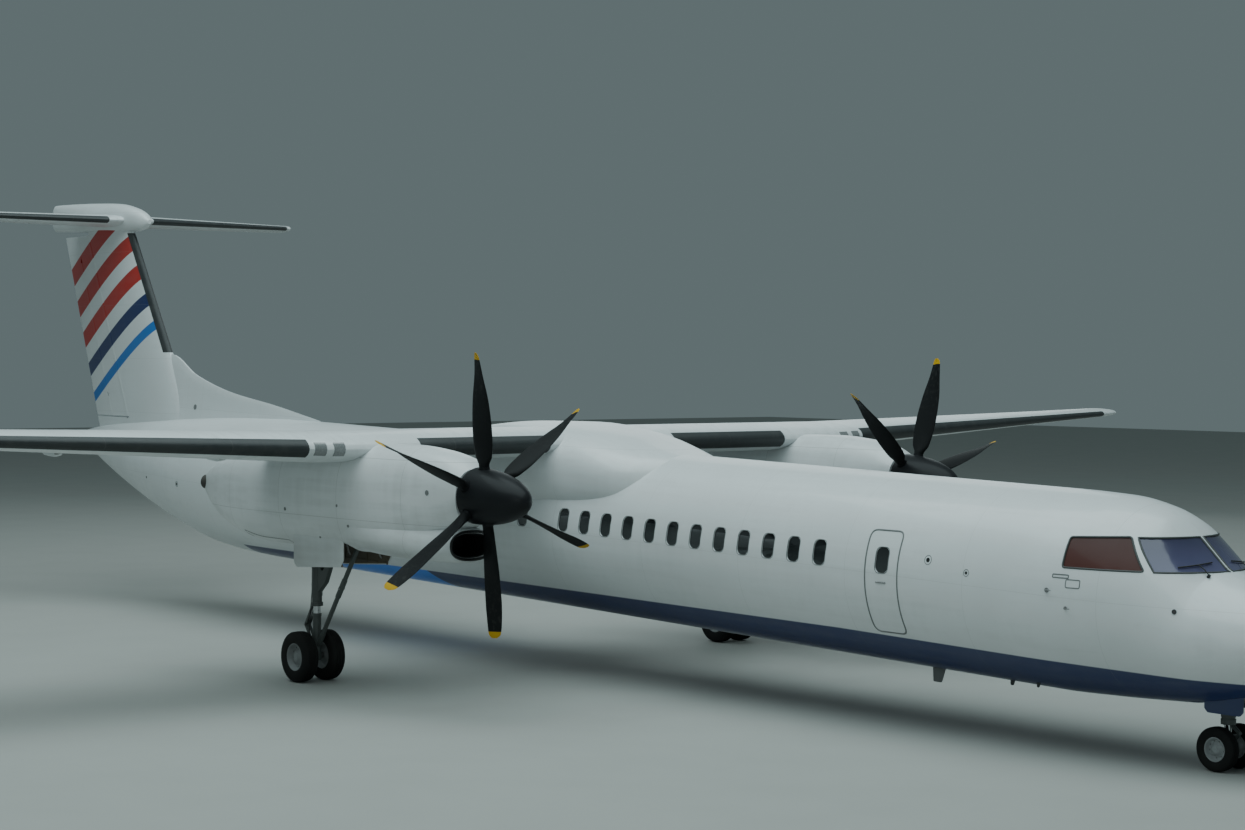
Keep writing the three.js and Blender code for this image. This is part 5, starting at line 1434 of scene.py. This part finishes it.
def blade_loop(radius):
    chord, thick, twist, sweep = smooth_through(BLADE, radius)
    turn, flat = math.radians(twist), min(1, max(0, radius - BLADE_ROOT) * 4)
    loop = []
    for angle in (2 * math.pi * i / BLADE_POINTS for i in range(BLADE_POINTS)):
        u = chord / 2 * math.cos(angle)
        v = thick / 2 * math.sin(angle) * (1 + 0.22 * math.cos(angle) * flat)
        loop.append((u * math.cos(turn) - v * math.sin(turn) + sweep,
                     u * math.sin(turn) + v * math.cos(turn), radius))
    return loop


def placed(obj, degrees, side):
    """Turns a piece round the propeller's axis and puts it on its nacelle."""
    place = Matrix.Translation((PROPELLER_X, side * ENGINE_Y, PROPELLER_Z))
    droop = Matrix.Rotation(math.atan(PROPELLER_TILT), 4, "Y")
    obj.matrix_world = place @ droop @ Matrix.Rotation(-math.radians(degrees), 4, "X")
    return freeze(obj)


for word, side in SIDES:
    body, parked = "propeller_" + word, PARKED_TURN[word]
    rings = []
    for part in (math.sin(math.pi / 2 * i / 24) for i in range(24, -1, -1)):
        radius = max(SPINNER_RADIUS * (1 - part**2) ** SPINNER_ROUND, 0.003)
        rings.append((SPINNER_REAR + part * (SPINNER_TIP - SPINNER_REAR), 0, 0, radius, radius))
    spinner = ring_loft(rings, 64)
    master = skin_from([blade_loop(radius) for radius in BLADE_STATIONS])
    blades, holes, hub = [], [], []
    for turned in range(0, 360, 360 // BLADE_COUNT):
        blades.append(placed(copy_of(master), parked + turned, side))
        hole = rod((0, 0, 0.18), (0, 0, 0.7), 0.087, sides=32)
        hole.rotation_euler = (-math.radians(turned), 0, 0)
        holes.append(freeze(hole))
        cuff = rod((0, 0, 0.30), (0, 0, 0.425), 0.083, 0.080, sides=32, bevel=0.004)
        hub.append(placed(cuff, parked + turned, side))
    bpy.data.objects.remove(master)
    placed(carve(spinner, weld(holes)), parked, side)
    dress(spinner, "spinner_shell_" + word, "spinner_black", body,
          ("spinner_" + word,), 30)
    dress(weld(blades), "blades_" + word, "blade_black", body, (body,), 45)
    hub += [placed(rod((rear, 0, 0), (front, 0, 0), radius, sides=40), 0, side)
            for rear, front, radius in ((-0.1796, -0.1604, 0.26), (-0.178, -0.150, 0.20))]
    dress(weld(hub), "hub_and_cuffs_" + word, "spinner_black", body, angle=40)
print("two propellers with", BLADE_COUNT, "blades each")

# %% [markdown]
# Wheels. A tyre is a ring of one profile, with two pairs of grooves round its crown, and the
# rim is another ring with a dished face. Bolts, a hub cap and vent holes go on the face.

# %% Wheels
CROWN = [
    (0.0, 0.72), (0.10, 0.86), (0.25, 0.955), (0.45, 1.0), (0.62, 0.985), (0.78, 0.93),
    (0.88, 0.86), (0.945, 0.77), (0.978, 0.66), (0.992, 0.52), (0.994, 0.45), (0.955, 0.44),
    (0.955, 0.37), (0.996, 0.36), (0.998, 0.22), (0.999, 0.15), (0.958, 0.14), (0.958, 0.07),
    (1.0, 0.06),
]
WHEEL_X, AXLE_Z, NOSE_X, NOSE_AXLE = 0.825, 0.3935, 14.765, 0.2795
MAIN_WHEEL, NOSE_WHEEL = (0.248, 0.205, 0.49, 0.048), (0.165, 0.145, 0.43, 0.032)
WHEELS = {
    "main_port": (WHEEL_X, 4.4, AXLE_Z, *MAIN_WHEEL, "main_wheels_port"),
    "main_starboard": (WHEEL_X, -4.4, AXLE_Z, *MAIN_WHEEL, "main_wheels_starboard"),
    "nose": (NOSE_X, 0.0, NOSE_AXLE, *NOSE_WHEEL, "nose_wheels"),
}


def ring_of(side, x, y, z, steps):
    """Half a profile of radius and Y, made whole and turned all the way round an axle."""
    profile = side + [(radius, -away) for radius, away in reversed(side)]
    turns = (2 * math.pi * (i + 0.5) / steps for i in range(steps))
    return skin_from([[(x + radius * math.sin(turn), y + away, z - radius * math.cos(turn))
                       for radius, away in profile] for turn in turns], closed_round=True)


def rim_profile(axle, rim, half):
    return [(axle, 0.52 * half), (axle + 0.02, 0.54 * half), (axle + 0.03, 0.40 * half),
            (0.60 * rim, 0.20 * half), (0.78 * rim, 0.22 * half), (0.88 * rim, 0.46 * half),
            (0.92 * rim, 0.68 * half), (0.975 * rim, 0.79 * half), (rim + 0.008, 0.80 * half),
            (rim + 0.010, 0.73 * half), (rim - 0.0005, 0.71 * half)]


for name, (x, y, radius, width, rim, track, axle, body) in WHEELS.items():
    half = width / 2
    tyre_side = [(rim + part * (radius - rim), away * half) for part, away in CROWN]

    def along_axle(start, end, *sizes, angle=0.0, out=0.0, **options):
        """A rod along the axle, or round it at an angle, between two places across it."""
        at_x, at_z = x + out * rim * math.sin(angle), radius + out * rim * math.cos(angle)
        return rod((at_x, start, at_z), (at_x, end, at_z), *sizes, **options)

    rims, discs, bolts = [], [], []
    for place, away in (("inner", -math.copysign(1, y)), ("outer", math.copysign(1, y))):
        at = y + away * track / 2
        dress(ring_of(tyre_side, x, at, radius, 72), f"{name}_tyre_rubber_{place}", "tyre_rubber",
              body, (f"{name}_tyre_{place}",), 38)
        face_ring = ring_of(rim_profile(axle, rim, half), x, at, radius, 64)
        holes = []
        for angle in (2 * math.pi * (i + 0.5) / 9 for i in range(9)):
            holes.append(along_axle(at - half, at + half, 0.075 * rim, angle=angle, out=0.72,
                                    sides=14))
            bolts.append(along_axle(at + away * 0.18 * half, at + away * 0.30 * half, 0.045 * rim,
                                    angle=angle + math.pi / 9, out=0.62, sides=6, bevel=0.0015))
        rims += [carve(face_ring, weld(holes)),
                 along_axle(at, at + away * 0.60 * half, axle + 0.010, axle + 0.004, sides=32,
                            bevel=0.006)]
        discs.append(along_axle(at - away * 0.14 * half, at - away * 0.02 * half, 0.86 * rim,
                                sides=40))
    dress(weld(rims), name + "_rims", "wheel_paint", body, (name + "_wheels",), 32)
    discs.append(along_axle(y - track / 2, y + track / 2, axle - 0.0004, sides=32))
    dress(weld(discs), name + "_discs_and_axle", "dull_steel", body)
    dress(weld(bolts), name + "_bolts", "dull_steel", body)
print("three pairs of wheels:", ", ".join(WHEELS))

# %% [markdown]
# Landing gear. A main leg stands a little ahead of its axle. It is a painted tube with
# collars, a gusset with two holes and a bright sliding tube below. A long brace runs up to the
# front of the well, and a pair of folding links behind keeps the axle straight. All of it is
# made to port and copied to the other side.

# %% Main gear legs
LEG_X, COLLAR_Z, TRUNNION_Z = 0.935, 1.18, 2.62
BRACE_X, BRACE_Z, WELL_HALF = 2.29, 2.48, 0.3996


def across(x, z, half, radius, sides=28, bevel=0.004, y=ENGINE_Y):
    return rod((x, y - half, z), (x, y + half, z), radius, sides=sides, bevel=bevel)


def upright(x, low, high, radius, sides=32, bevel=0.004, y=ENGINE_Y):
    return rod((x, y, low), (x, y, high), radius, sides=sides, bevel=bevel)


def link(corners, half, gap, x=LEG_X, y=ENGINE_Y):
    """A folding link: a bevelled plate with a slot between its two arms."""
    piece = rounded_plate([(x + dx, z) for dx, z in corners], y - half, y + half, 0.010, 0.004)
    xs, zs = zip(*corners)
    trim = 0.26 * (max(zs) - min(zs))
    return carve(piece, wide_block(x + min(xs) - 0.1, x + max(xs) + 0.1, gap, min(zs) + trim,
                                   max(zs) - trim, y=y))


axle_room = across(WHEEL_X, AXLE_Z, 0.2, 0.0503)
sleeve = carve(across(WHEEL_X, AXLE_Z, 0.075, 0.090), axle_room, keep=True)
shoe = block((WHEEL_X, ENGINE_Y - 0.055, AXLE_Z - 0.055),
             (LEG_X + 0.06, ENGINE_Y + 0.055, AXLE_Z + 0.06), 0.012)
carve(shoe, axle_room)
gusset = rounded_plate([(LEG_X + dx, z) for dx, z in (
    (0, 2.30), (0.45, 2.30), (0.395, 1.80), (0.275, 1.56), (0.09, 1.40), (0, 1.40))],
    ENGINE_Y - 0.04, ENGINE_Y + 0.04, 0.02, 0.006)
carve(gusset, across(LEG_X + 0.24, 2.08, 0.1, 0.075), across(LEG_X + 0.20, 1.80, 0.1, 0.055))
brace_foot = Vector((LEG_X + 0.01, ENGINE_Y, 0.52))
brace_head = Vector((BRACE_X, ENGINE_Y, BRACE_Z))
brace_run = brace_head - brace_foot
painted = [sleeve, shoe, gusset]
painted += [upright(LEG_X, low, high, radius) for low, high, radius in (
    (COLLAR_Z, 2.69, 0.078), (0.44, 1.06, 0.066), (1.02, 1.065, 0.072),
    (COLLAR_Z, COLLAR_Z + 0.06, 0.094), (1.34, 1.40, 0.086), (2.36, 2.42, 0.090),
    (2.48, 2.54, 0.090))]
painted += [across(LEG_X, TRUNNION_Z, WELL_HALF, 0.085), across(BRACE_X, BRACE_Z, WELL_HALF, 0.05),
            rod(brace_foot, brace_head, 0.036, sides=28)]
painted += [rod(brace_foot + brace_run * a, brace_foot + brace_run * b, 0.044, sides=28,
                bevel=0.006) for a, b in ((0.05, 0.12), (0.43, 0.57), (0.86, 0.97))]
painted += [link([(-0.06, 1.24), (-0.06, 1.17), (-0.26, 0.84), (-0.29, 0.88)], 0.045, 0.020),
            link([(-0.04, 0.52), (-0.04, 0.59), (-0.26, 0.90), (-0.29, 0.86)], 0.045, 0.020)]
both_sides(weld(painted), "main_leg_painted", "leg_paint",
           replaced=["main_gear_leg_SIDE"])
both_sides(upright(LEG_X, 0.45, COLLAR_Z + 0.02, 0.058, 40), "main_leg_piston", "chrome_tube")
print("main legs")

# %% [markdown]
# Small hardware for the main legs: pins in the links and the brace, and two stiff brake pipes
# that are clamped to the back of the leg, follow the folding links and end at the axle.

# %% Pins and pipes of the main legs
middle = brace_foot + brace_run * 0.5
pins = [across(x, z, half, radius) for x, z, half, radius in (
    (LEG_X - 0.272, 0.870, 0.056, 0.015), (LEG_X - 0.070, 1.205, 0.056, 0.016),
    (LEG_X - 0.052, 0.552, 0.056, 0.016), (middle.x, middle.z, 0.052, 0.020),
    (LEG_X + 0.36, 2.22, 0.050, 0.020))]
pins += [across(LEG_X + 0.05 + 0.09 * i, 2.26, 0.044, 0.010, 6, 0.0015) for i in range(3)]
pins += [upright(LEG_X + dx, 2.54, 2.56, 0.012, 6, 0.0015, ENGINE_Y + dy)
         for dx, dy in ((0.07, 0.07), (-0.07, 0.07), (0.07, -0.07), (-0.07, -0.07))]
both_sides(weld(pins), "main_leg_pins", "dull_steel")
PIPE = [(-0.083, 0.035, 2.50), (-0.083, 0.035, 2.20), (-0.083, 0.036, 1.90),
        (-0.083, 0.037, 1.60), (-0.085, 0.038, 1.42), (-0.100, 0.044, 1.22),
        (-0.112, 0.056, 1.02), (-0.112, 0.064, 0.82), (-0.104, 0.068, 0.66),
        (-0.104, 0.070, 0.52), (-0.108, 0.066, 0.46)]
pipes = [bead([(LEG_X + dx, ENGINE_Y + side * dy, z) for dx, dy, z in PIPE], 0.007, closed=False)
         for _, side in SIDES]
both_sides(weld(pipes), "main_leg_pipes", "black_trim")
clamps = [wide_block(LEG_X - 0.094, LEG_X - 0.068, 0.048, z, z + 0.016, 0.003)
          for z in (1.50, 1.78, 2.06, 2.30)]
both_sides(weld(clamps), "main_leg_clamps", "dull_steel")
print("pins, pipes and clamps")

# %% [markdown]
# Gear doors and wells. A main door hangs beside the leg from the nacelle's lower edge: a
# painted outer skin, a dark ribbed lining and two curved hinge arms. The wells get a primed
# liner with frames. Lining and liner are dark brown, partly primer and partly painted shade.
# Each of its parts is trimmed to the nacelle by itself, before they are joined, because a
# boolean needs a mesh that doesn't cross itself.

# %% Main gear doors and wells
DOOR = [(2.33, 2.45), (2.33, 2.0), (2.24, 1.89), (1.03, 1.815), (0.95, 1.89), (0.95, 2.45)]
LINING = [(2.315, 2.45), (2.315, 2.006), (2.232, 1.905), (1.037, 1.831), (0.965, 1.897),
          (0.965, 2.45)]
DOOR_ARM = [(0.012, 1.98), (0.045, 2.02), (0.075, 2.12), (0.080, 2.24), (0.060, 2.34),
            (0.028, 2.40)]
nacelle_core = nacelle_loft()
for place, end in (("outer", 1), ("inner", -1)):
    at = ENGINE_Y + end * 0.425
    skin = rounded_plate(DOOR, *sorted((at + end * 0.001, at + end * 0.012)), 0.02, 0.003)
    lining = rounded_plate(LINING, *sorted((at + end * 0.0015, at - end * 0.010)), 0.02, 0.002)
    low, high = sorted((at - end * 0.008, at - end * 0.022))
    ribs = [block((x - 0.012, low, 1.89), (x + 0.012, high, 2.22), 0.003)
            for x in (1.1, 1.4, 1.7, 2.0, 2.25)]
    ribs += [block((1.02, low, z - 0.012), (2.27, high, z + 0.012), 0.003) for z in (1.92, 2.10)]
    for piece in (skin, lining):
        carve(piece, nacelle_core, keep=True)
    arms = [bead([(x, at - end * off, z) for off, z in DOOR_ARM], 0.014, closed=False)
            for x in (1.25, 2.10)]
    both_sides(skin, f"main_door_skin_{place}", "nacelle_paint",
               replaced=[f"main_gear_door_{place}_SIDE"])
    both_sides(weld([lining] + ribs), f"main_door_lining_{place}", "primer_and_shade")
    both_sides(weld(arms), f"main_door_arms_{place}", "dull_steel")
bpy.data.objects.remove(nacelle_core)

liner = [carve(wide_block(-0.699, 2.399, 0.399, 1.5, 2.899),
               wide_block(-0.694, 2.394, 0.394, 1.4, 2.894))]
for x in (-0.45, -0.10, 0.25, 0.60, 1.30, 1.65, 2.00):
    for _, side in SIDES:
        low, high = sorted((ENGINE_Y + side * 0.396, ENGINE_Y + side * 0.368))
        liner.append(block((x - 0.008, low, 1.9), (x + 0.008, high, 2.896)))
    liner.append(wide_block(x - 0.008, x + 0.008, 0.396, 2.868, 2.896))
room = nacelle_loft(0.027)
for piece in liner:
    inside(piece, room, keep=True)
bpy.data.objects.remove(room)
print("a liner of", sum(len(piece.data.polygons) for piece in liner), "faces")
both_sides(weld(liner), "main_well_liner", "primer_and_shade")
print("four main doors, two wells")

# %% [markdown]
# Nose gear. The upper leg is fixed in the well with its trunnion, a brace to the rear and two
# small steering jacks. The lower leg turns with the steering and carries the axle. Two lamps
# for taxiing look forward from the upper leg, and two short navy doors hang at its sides.

# %% Nose gear
NOSE_COLLAR, NOSE_BRACE_X, NOSE_TRUNNION = 0.64, 13.84, 0.3296
upper = [upright(NOSE_X, low, high, radius, 36, y=0) for low, high, radius in (
    (NOSE_COLLAR, 1.25, 0.085), (0.66, 0.70, 0.094), (1.00, 1.04, 0.094))]
upper += [across(NOSE_X, 1.18, NOSE_TRUNNION, 0.06, y=0),
          across(NOSE_BRACE_X, 1.15, NOSE_TRUNNION, 0.044, y=0),
          rod((NOSE_X - 0.03, 0, 0.76), (NOSE_BRACE_X + 0.008, 0, 1.146), 0.030, sides=24),
          rod((NOSE_X - 0.40, 0, 0.921), (NOSE_X - 0.52, 0, 0.973), 0.037, sides=24, bevel=0.005),
          wide_block(NOSE_X - 0.07, NOSE_X + 0.05, 0.125, 0.735, 0.785, 0.008, y=0)]


def front_pair(start, end, away, z, *sizes, **options):
    """Two rods that point forward, one on each side of the nose leg."""
    return [rod((NOSE_X + start, side * away, z), (NOSE_X + end, side * away, z), *sizes,
                **options) for _, side in SIDES]


jacks = front_pair(-0.09, 0.10, 0.105, 0.76, 0.024, sides=20, bevel=0.004)
jacks += [across(NOSE_X - 0.03, 0.76, 0.04, 0.016, y=0), across(NOSE_X, 1.18, 0.12, 0.068, y=0)]
lamps = front_pair(0.070, 0.125, 0.075, 0.90, 0.040, 0.055, sides=28)
lenses = front_pair(0.124, 0.129, 0.075, 0.90, 0.051, sides=28, bevel=0.002)
nose_room = across(NOSE_X, NOSE_AXLE, 0.2, 0.0343, y=0)
lower = [carve(across(NOSE_X, NOSE_AXLE, 0.06, 0.062, y=0), nose_room, keep=True),
         carve(upright(NOSE_X, NOSE_AXLE + 0.02, 0.36, 0.064, y=0), nose_room),
         upright(NOSE_X, NOSE_COLLAR - 0.07, NOSE_COLLAR - 0.001, 0.095, 36, y=0),
         *(link(corners, 0.030, 0.012, NOSE_X, 0) for corners in (
             [(0.04, 0.60), (0.04, 0.56), (0.165, 0.455), (0.185, 0.475)],
             [(0.04, 0.30), (0.04, 0.35), (0.165, 0.485), (0.185, 0.465)])),
         across(NOSE_X + 0.172, 0.470, 0.036, 0.010, y=0)]
piston = upright(NOSE_X, 0.34, 0.60, 0.052, 36, y=0)
for pieces, name, paint, body, *replaced in (
    (upper, "nose_leg_upper_painted", "leg_paint", "airframe", "nose_gear_upper_leg"),
    (jacks, "nose_leg_jacks", "chrome_tube", "airframe"),
    (lamps, "taxi_lamps", "dull_steel", "airframe"),
    (lenses, "taxi_lenses", "clear_lens", "airframe"),
    (lower, "nose_leg_lower_painted", "leg_paint", "nose_gear_steered", "nose_gear_lower_leg"),
    ([piston], "nose_leg_piston", "chrome_tube", "nose_gear_steered"),
):
    dress(weld(pieces), name, paint, body, replaced, 32)
print("nose leg, jacks and taxi lamps")

# %% Nose gear doors and well
NOSE_DOOR = [(15.23, 1.0), (15.23, 0.79), (15.18, 0.74), (14.71, 0.74), (14.66, 0.79), (14.66, 1.0)]
NOSE_ARM = [(0.336, 0.80), (0.315, 0.82), (0.300, 0.88), (0.305, 0.95), (0.328, 0.99)]
nose_core = hull_core(15.6, 14.3, -0.001)
arms = []
for word, side in SIDES:
    leaf = rounded_plate(NOSE_DOOR, *sorted((side * 0.334, side * 0.356)), 0.015, 0.003)
    carve(leaf, nose_core, keep=True)
    dress(leaf, "nose_door_leaf_" + word, "navy_paint",
          replaced=("nose_gear_door_" + word,), angle=30)
    arms += [bead([(x, side * y, z) for y, z in NOSE_ARM], 0.009, closed=False)
             for x in (14.78, 15.12)]
dress(weld(arms), "nose_door_arms", "dull_steel")
bpy.data.objects.remove(nose_core)

# The nose well's liner gets the same dark primer, partly painted shade.
liner = carve(block((13.751, -0.3295, 0.30), (15.259, 0.3295, 1.399)),
              block((13.755, -0.3255, 0.20), (15.255, 0.3255, 1.395)))
dress(inside(liner, hull_core(15.6, 13.3, 0.026)), "nose_well_liner", "primer_and_shade")
print("nose gear doors and well")

# %% [markdown]
# Cockpit frames and wipers. A dark rubber line lies round each pane. The side window's line is
# its outline laid on the skin; the windscreen's also follows the centre post, so its points
# are found by looking for the place where the skin comes in to the post.

# %% Cockpit frames and wipers
WIPER_FOOT, WIPER_DROP = 0.42, 0.05


def skin_x(y, z):
    """How far forward the nose is as wide as y, at a height."""
    near, far = NOSE - 3.2, NOSE - 0.3
    for _ in range(30):
        half_way = (near + far) / 2
        near, far = (half_way, far) if skin_y(half_way, z) > y else (near, half_way)
    return near


def spread(count, *stops):
    """Points in equal steps from stop to stop, without the last stop."""
    if isinstance(count, int):
        count = [count] * (len(stops) - 1)
    return [tuple(p + (q - p) * i / steps for p, q in zip(a, b))
            for a, b, steps in zip(stops, stops[1:], count) for i in range(steps)]


post_line = [(skin_x(HALF_POST, z), z) for (z,) in spread(14, (foot_z,), (head_z,))]
screen_loop = spread(16, (SCREEN_FOOT_REAR, foot_z), post_line[0]) + post_line
screen_loop += spread(12, (skin_x(HALF_POST, head_z), head_z), (SCREEN_TOP_REAR, head_z),
                      (SCREEN_FOOT_REAR, foot_z))
window_loop = rounded_outline(SIDE_WINDOW, 0.035, 0.05, 3)
for word, side in SIDES:
    frames = [skin_bead(loop, side, 0.014, 0.003) for loop in (window_loop, screen_loop)]
    dress(weld(frames), "cockpit_frames_" + word, "frame_rubber")
    base = Vector((skin_x(WIPER_FOOT, foot_z - WIPER_DROP), side * WIPER_FOOT,
                   foot_z - WIPER_DROP))
    blade = []
    for y in (0.20, 0.32, 0.44, 0.56, 0.68):
        z = foot_z + 0.055 + 0.10 * (0.68 - y)
        blade.append(Vector((skin_x(y, z) + 0.006, side * y, z + 0.012)))
    arm = [base + Vector((0.02, 0, 0.02)), base.lerp(blade[2], 0.5) + Vector((0.03, 0, 0.02)),
           blade[2] + Vector((0.012, 0, 0.008))]
    pivot = rod(base - Vector((0.02, 0, 0.02)), base + Vector((0.025, 0, 0.028)), 0.020,
                sides=20, bevel=0.003)
    wiper = [bead(blade, 0.009, closed=False), bead(arm, 0.008, closed=False), pivot]
    dress(weld(wiper), "wiper_" + word, "black_trim")
print("cockpit frames and wipers")

# %% [markdown]
# Small fittings on the hull. A helper finds the skin's place and its outward direction, so
# that vents, probes and plates stand square on the skin. Vents, pitot tubes and access plates
# sit on each side of the nose; a blade aerial and short drain masts stand under the belly.

# %% Fittings on the hull
STEP = 0.02
VENTS = ((10.895, 2.410, 0.030, 0.004), (11.586, 2.288, 0.020, 0.004),
         (14.660, 2.015, 0.030, 0.012), (-9.165, 2.542, 0.030, 0.004), (-10.85, 2.60, 0.024, 0.004))
VENT_RINGS = ((10.895, 2.410, 0.060), (11.586, 2.288, 0.045), (-9.165, 2.542, 0.055))
PROBES = ((12.936, 2.169, 0.030), (13.228, 1.965, 0.022))
PLATES = ((13.00, 13.24, 2.335, 2.375, 0.01, 0.009), (13.21, 13.42, 2.22, 2.32, 0.02, 0.008))


def skin_place(x, z, side):
    """A point on the hull and the direction straight out of the skin there."""
    along = Vector((2 * STEP, side * (skin_y(x + STEP, z) - skin_y(x - STEP, z)), 0))
    up = Vector((0, side * (skin_y(x, z + STEP) - skin_y(x, z - STEP)), 2 * STEP))
    out = along.cross(up).normalized()
    return Vector((x, side * skin_y(x, z), z)), out if out.y * side > 0 else -out


def stud(x, z, side, radius, out):
    here, normal = skin_place(x, z, side)
    return rod(here - normal * 0.012, here + normal * out, radius, bevel=0.002)


def belly_plate(x, skin, length, tall, y=0.0, thick=0.012):
    """A leaning plate with rounded edges, below the skin."""
    z = axis_z(x) - skin
    corners = [(x + length / 2, z + 0.03), (x + length * 0.15, z - tall),
               (x - length * 0.45, z - tall), (x - length / 2, z + 0.03)]
    return rounded_plate(corners, y - thick / 2, y + thick / 2, 0.02, thick * 0.35)


for word, side in SIDES:
    steel = []
    for x, z, size in PROBES:
        here, normal = skin_place(x, z, side)
        knee = here + normal * 0.055
        steel += [stud(x, z, side, size, 0.014),
                  bead([here, here + normal * 0.030, knee + Vector((0.012, 0, 0)),
                        knee + Vector((0.10, 0, 0))], 0.007, closed=False)]
    rings = []
    for x, z, size in VENT_RINGS:
        angles = [2 * math.pi * i / 24 for i in range(24)]
        circle = [(x + size * math.cos(a), z + size * math.sin(a)) for a in angles]
        rings.append(skin_bead(circle, side, 0.005, 0.001))
    for x0, x1, z0, z1, corner, thick in PLATES:
        outline = rounded_outline([(x0, z1), (x0, z0), (x1, z0), (x1, z1)], corner, 0.05, 2)
        rings.append(skin_bead(outline, side, thick))
    dark = [stud(x, z, side, radius, out) for x, z, radius, out in VENTS]
    for pieces, name, paint in ((dark, "hull_vents_", "black_trim"),
                                (steel, "nose_probes_", "dull_steel"),
                                (rings, "hull_rings_", "seal_rubber")):
        dress(weld(pieces), name + word, paint, angle=32)

dress(belly_plate(9.95, 1.32, 0.26, 0.22), "belly_blade_aerial", "seal_rubber")
drains = [belly_plate(*sizes) for sizes in (
    (11.52, 1.285, 0.09, 0.07, -0.28), (12.15, 1.225, 0.07, 0.06, -0.50),
    (-2.2, 1.32, 0.10, 0.07, 0.25))]
dress(weld(drains), "drain_masts", "boot_rubber")
print("vents, probes, aerials")

# %% [markdown]
# Fittings on the wing, tail and nacelles: coloured lenses in the wing tips, a white tail
# lamp, thin static wicks behind the trailing edges, small dark drains and vents on the cowls,
# and the outline of the closed doors behind the main legs. The engines get a steel finish.

# %% Lamps, wicks and nacelle marks
LENS = [(1.0, 0.02), (0.8, 0.6), (0.4, 0.92), (0.0, 1.0), (-0.4, 0.92), (-0.8, 0.6), (-1.0, 0.02)]


def lens(name, paint, x, y, z, long, wide, tall):
    rings = [(x + long * at, y, z, wide * part, tall * part) for at, part in LENS]
    dress(ring_loft(rings, 20), name, paint, angle=60)


lens("tip_lamp_port", "red_lens", 1.56, 14.13, 4.006, 0.16, 0.045, 0.036)
lens("tip_lamp_starboard", "green_lens", 1.56, -14.13, 4.006, 0.16, 0.045, 0.036)
lens("tail_lamp", "clear_lens", -16.37, 0, 8.05, 0.05, 0.06, 0.08)
for word, side in SIDES:
    for surface, table, places in (("aileron", WING, (10.2, 11.1, 12.0, 12.9, 13.6)),
                                   ("elevator", TAILPLANE, (1.6, 2.7, 3.6, 4.3))):
        wicks = []
        for x, y, z in (on_foil(table, y, 1.0)[0] for y in places):
            wicks.append(rod((x + 0.03, side * y, z), (x - 0.13, side * y, z), 0.0045, 0.0025,
                             sides=8))
        dress(weld(wicks), f"{surface}_wicks_{word}", "black_trim",
              f"{surface}_{word}")

spots = []
for _, side in SIDES:
    hits = [bpy.data.objects[name].ray_cast((-10.22, side * 6, 4.02), (0, -side, 0))
            for name in ("fin_skin", "dorsal_crest")]
    place, normal = max(((hit[1], hit[2]) for hit in hits if hit[0]),
                        key=lambda found: abs(found[0].y))
    spots.append(rod(place - normal * 0.01, place + normal * 0.003, 0.055, bevel=0.001))
dress(weld(spots), "dorsal_vents", "seal_rubber")
print(len(spots), "vents on the dorsal fin")


def squarish(share):
    """How far a nacelle ring still reaches one way at a share of its reach the other way."""
    return (1 - share ** (2 / NACELLE_SQUARE)) ** (NACELLE_SQUARE / 2)


cowl_dark = []
for x, z, radius in ((0.90, 2.71, 0.028), (2.35, 2.83, 0.022), (2.59, 2.54, 0.026),
                     (3.44, 2.34, 0.032), (4.54, 3.12, 0.040), (1.7, 2.32, 0.022)):
    half, top, foot = smooth_through(NACELLE, x)
    y = ENGINE_Y + half * squarish(abs((z - (top + foot) / 2) / ((top - foot) / 2)))
    cowl_dark.append(rod((x, y - 0.02, z), (x, y + 0.004, z), radius, bevel=0.001))
both_sides(weld(cowl_dark), "cowl_drains", "seal_rubber")


def under_nacelle(x, y):
    half, top, foot = smooth_through(NACELLE, x)
    return (top + foot) / 2 - (top - foot) / 2 * squarish(min(abs(y - ENGINE_Y) / half, 1.0))


door_lines = []
for _, side in SIDES:
    near, far = ENGINE_Y + side * 0.012, ENGINE_Y + side * 0.33
    outline = spread((12, 4, 12, 4), (0.66, near), (-0.66, near), (-0.66, far), (0.66, far),
                     (0.66, near))
    door_lines.append(bead([(x, y, under_nacelle(x, y) + 0.002) for x, y in outline], 0.007))
both_sides(weld(door_lines), "closed_door_lines", "seal_rubber")
for word, _ in SIDES:
    for held in bpy.data.objects["engine_" + word].material_slots:
        held.material = materials["dull_steel"]
print("lamps, wicks and cowl marks")

# %% [markdown]
# The last cell works out the box round everything that is shown.

# %% Box of the scene
low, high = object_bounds()
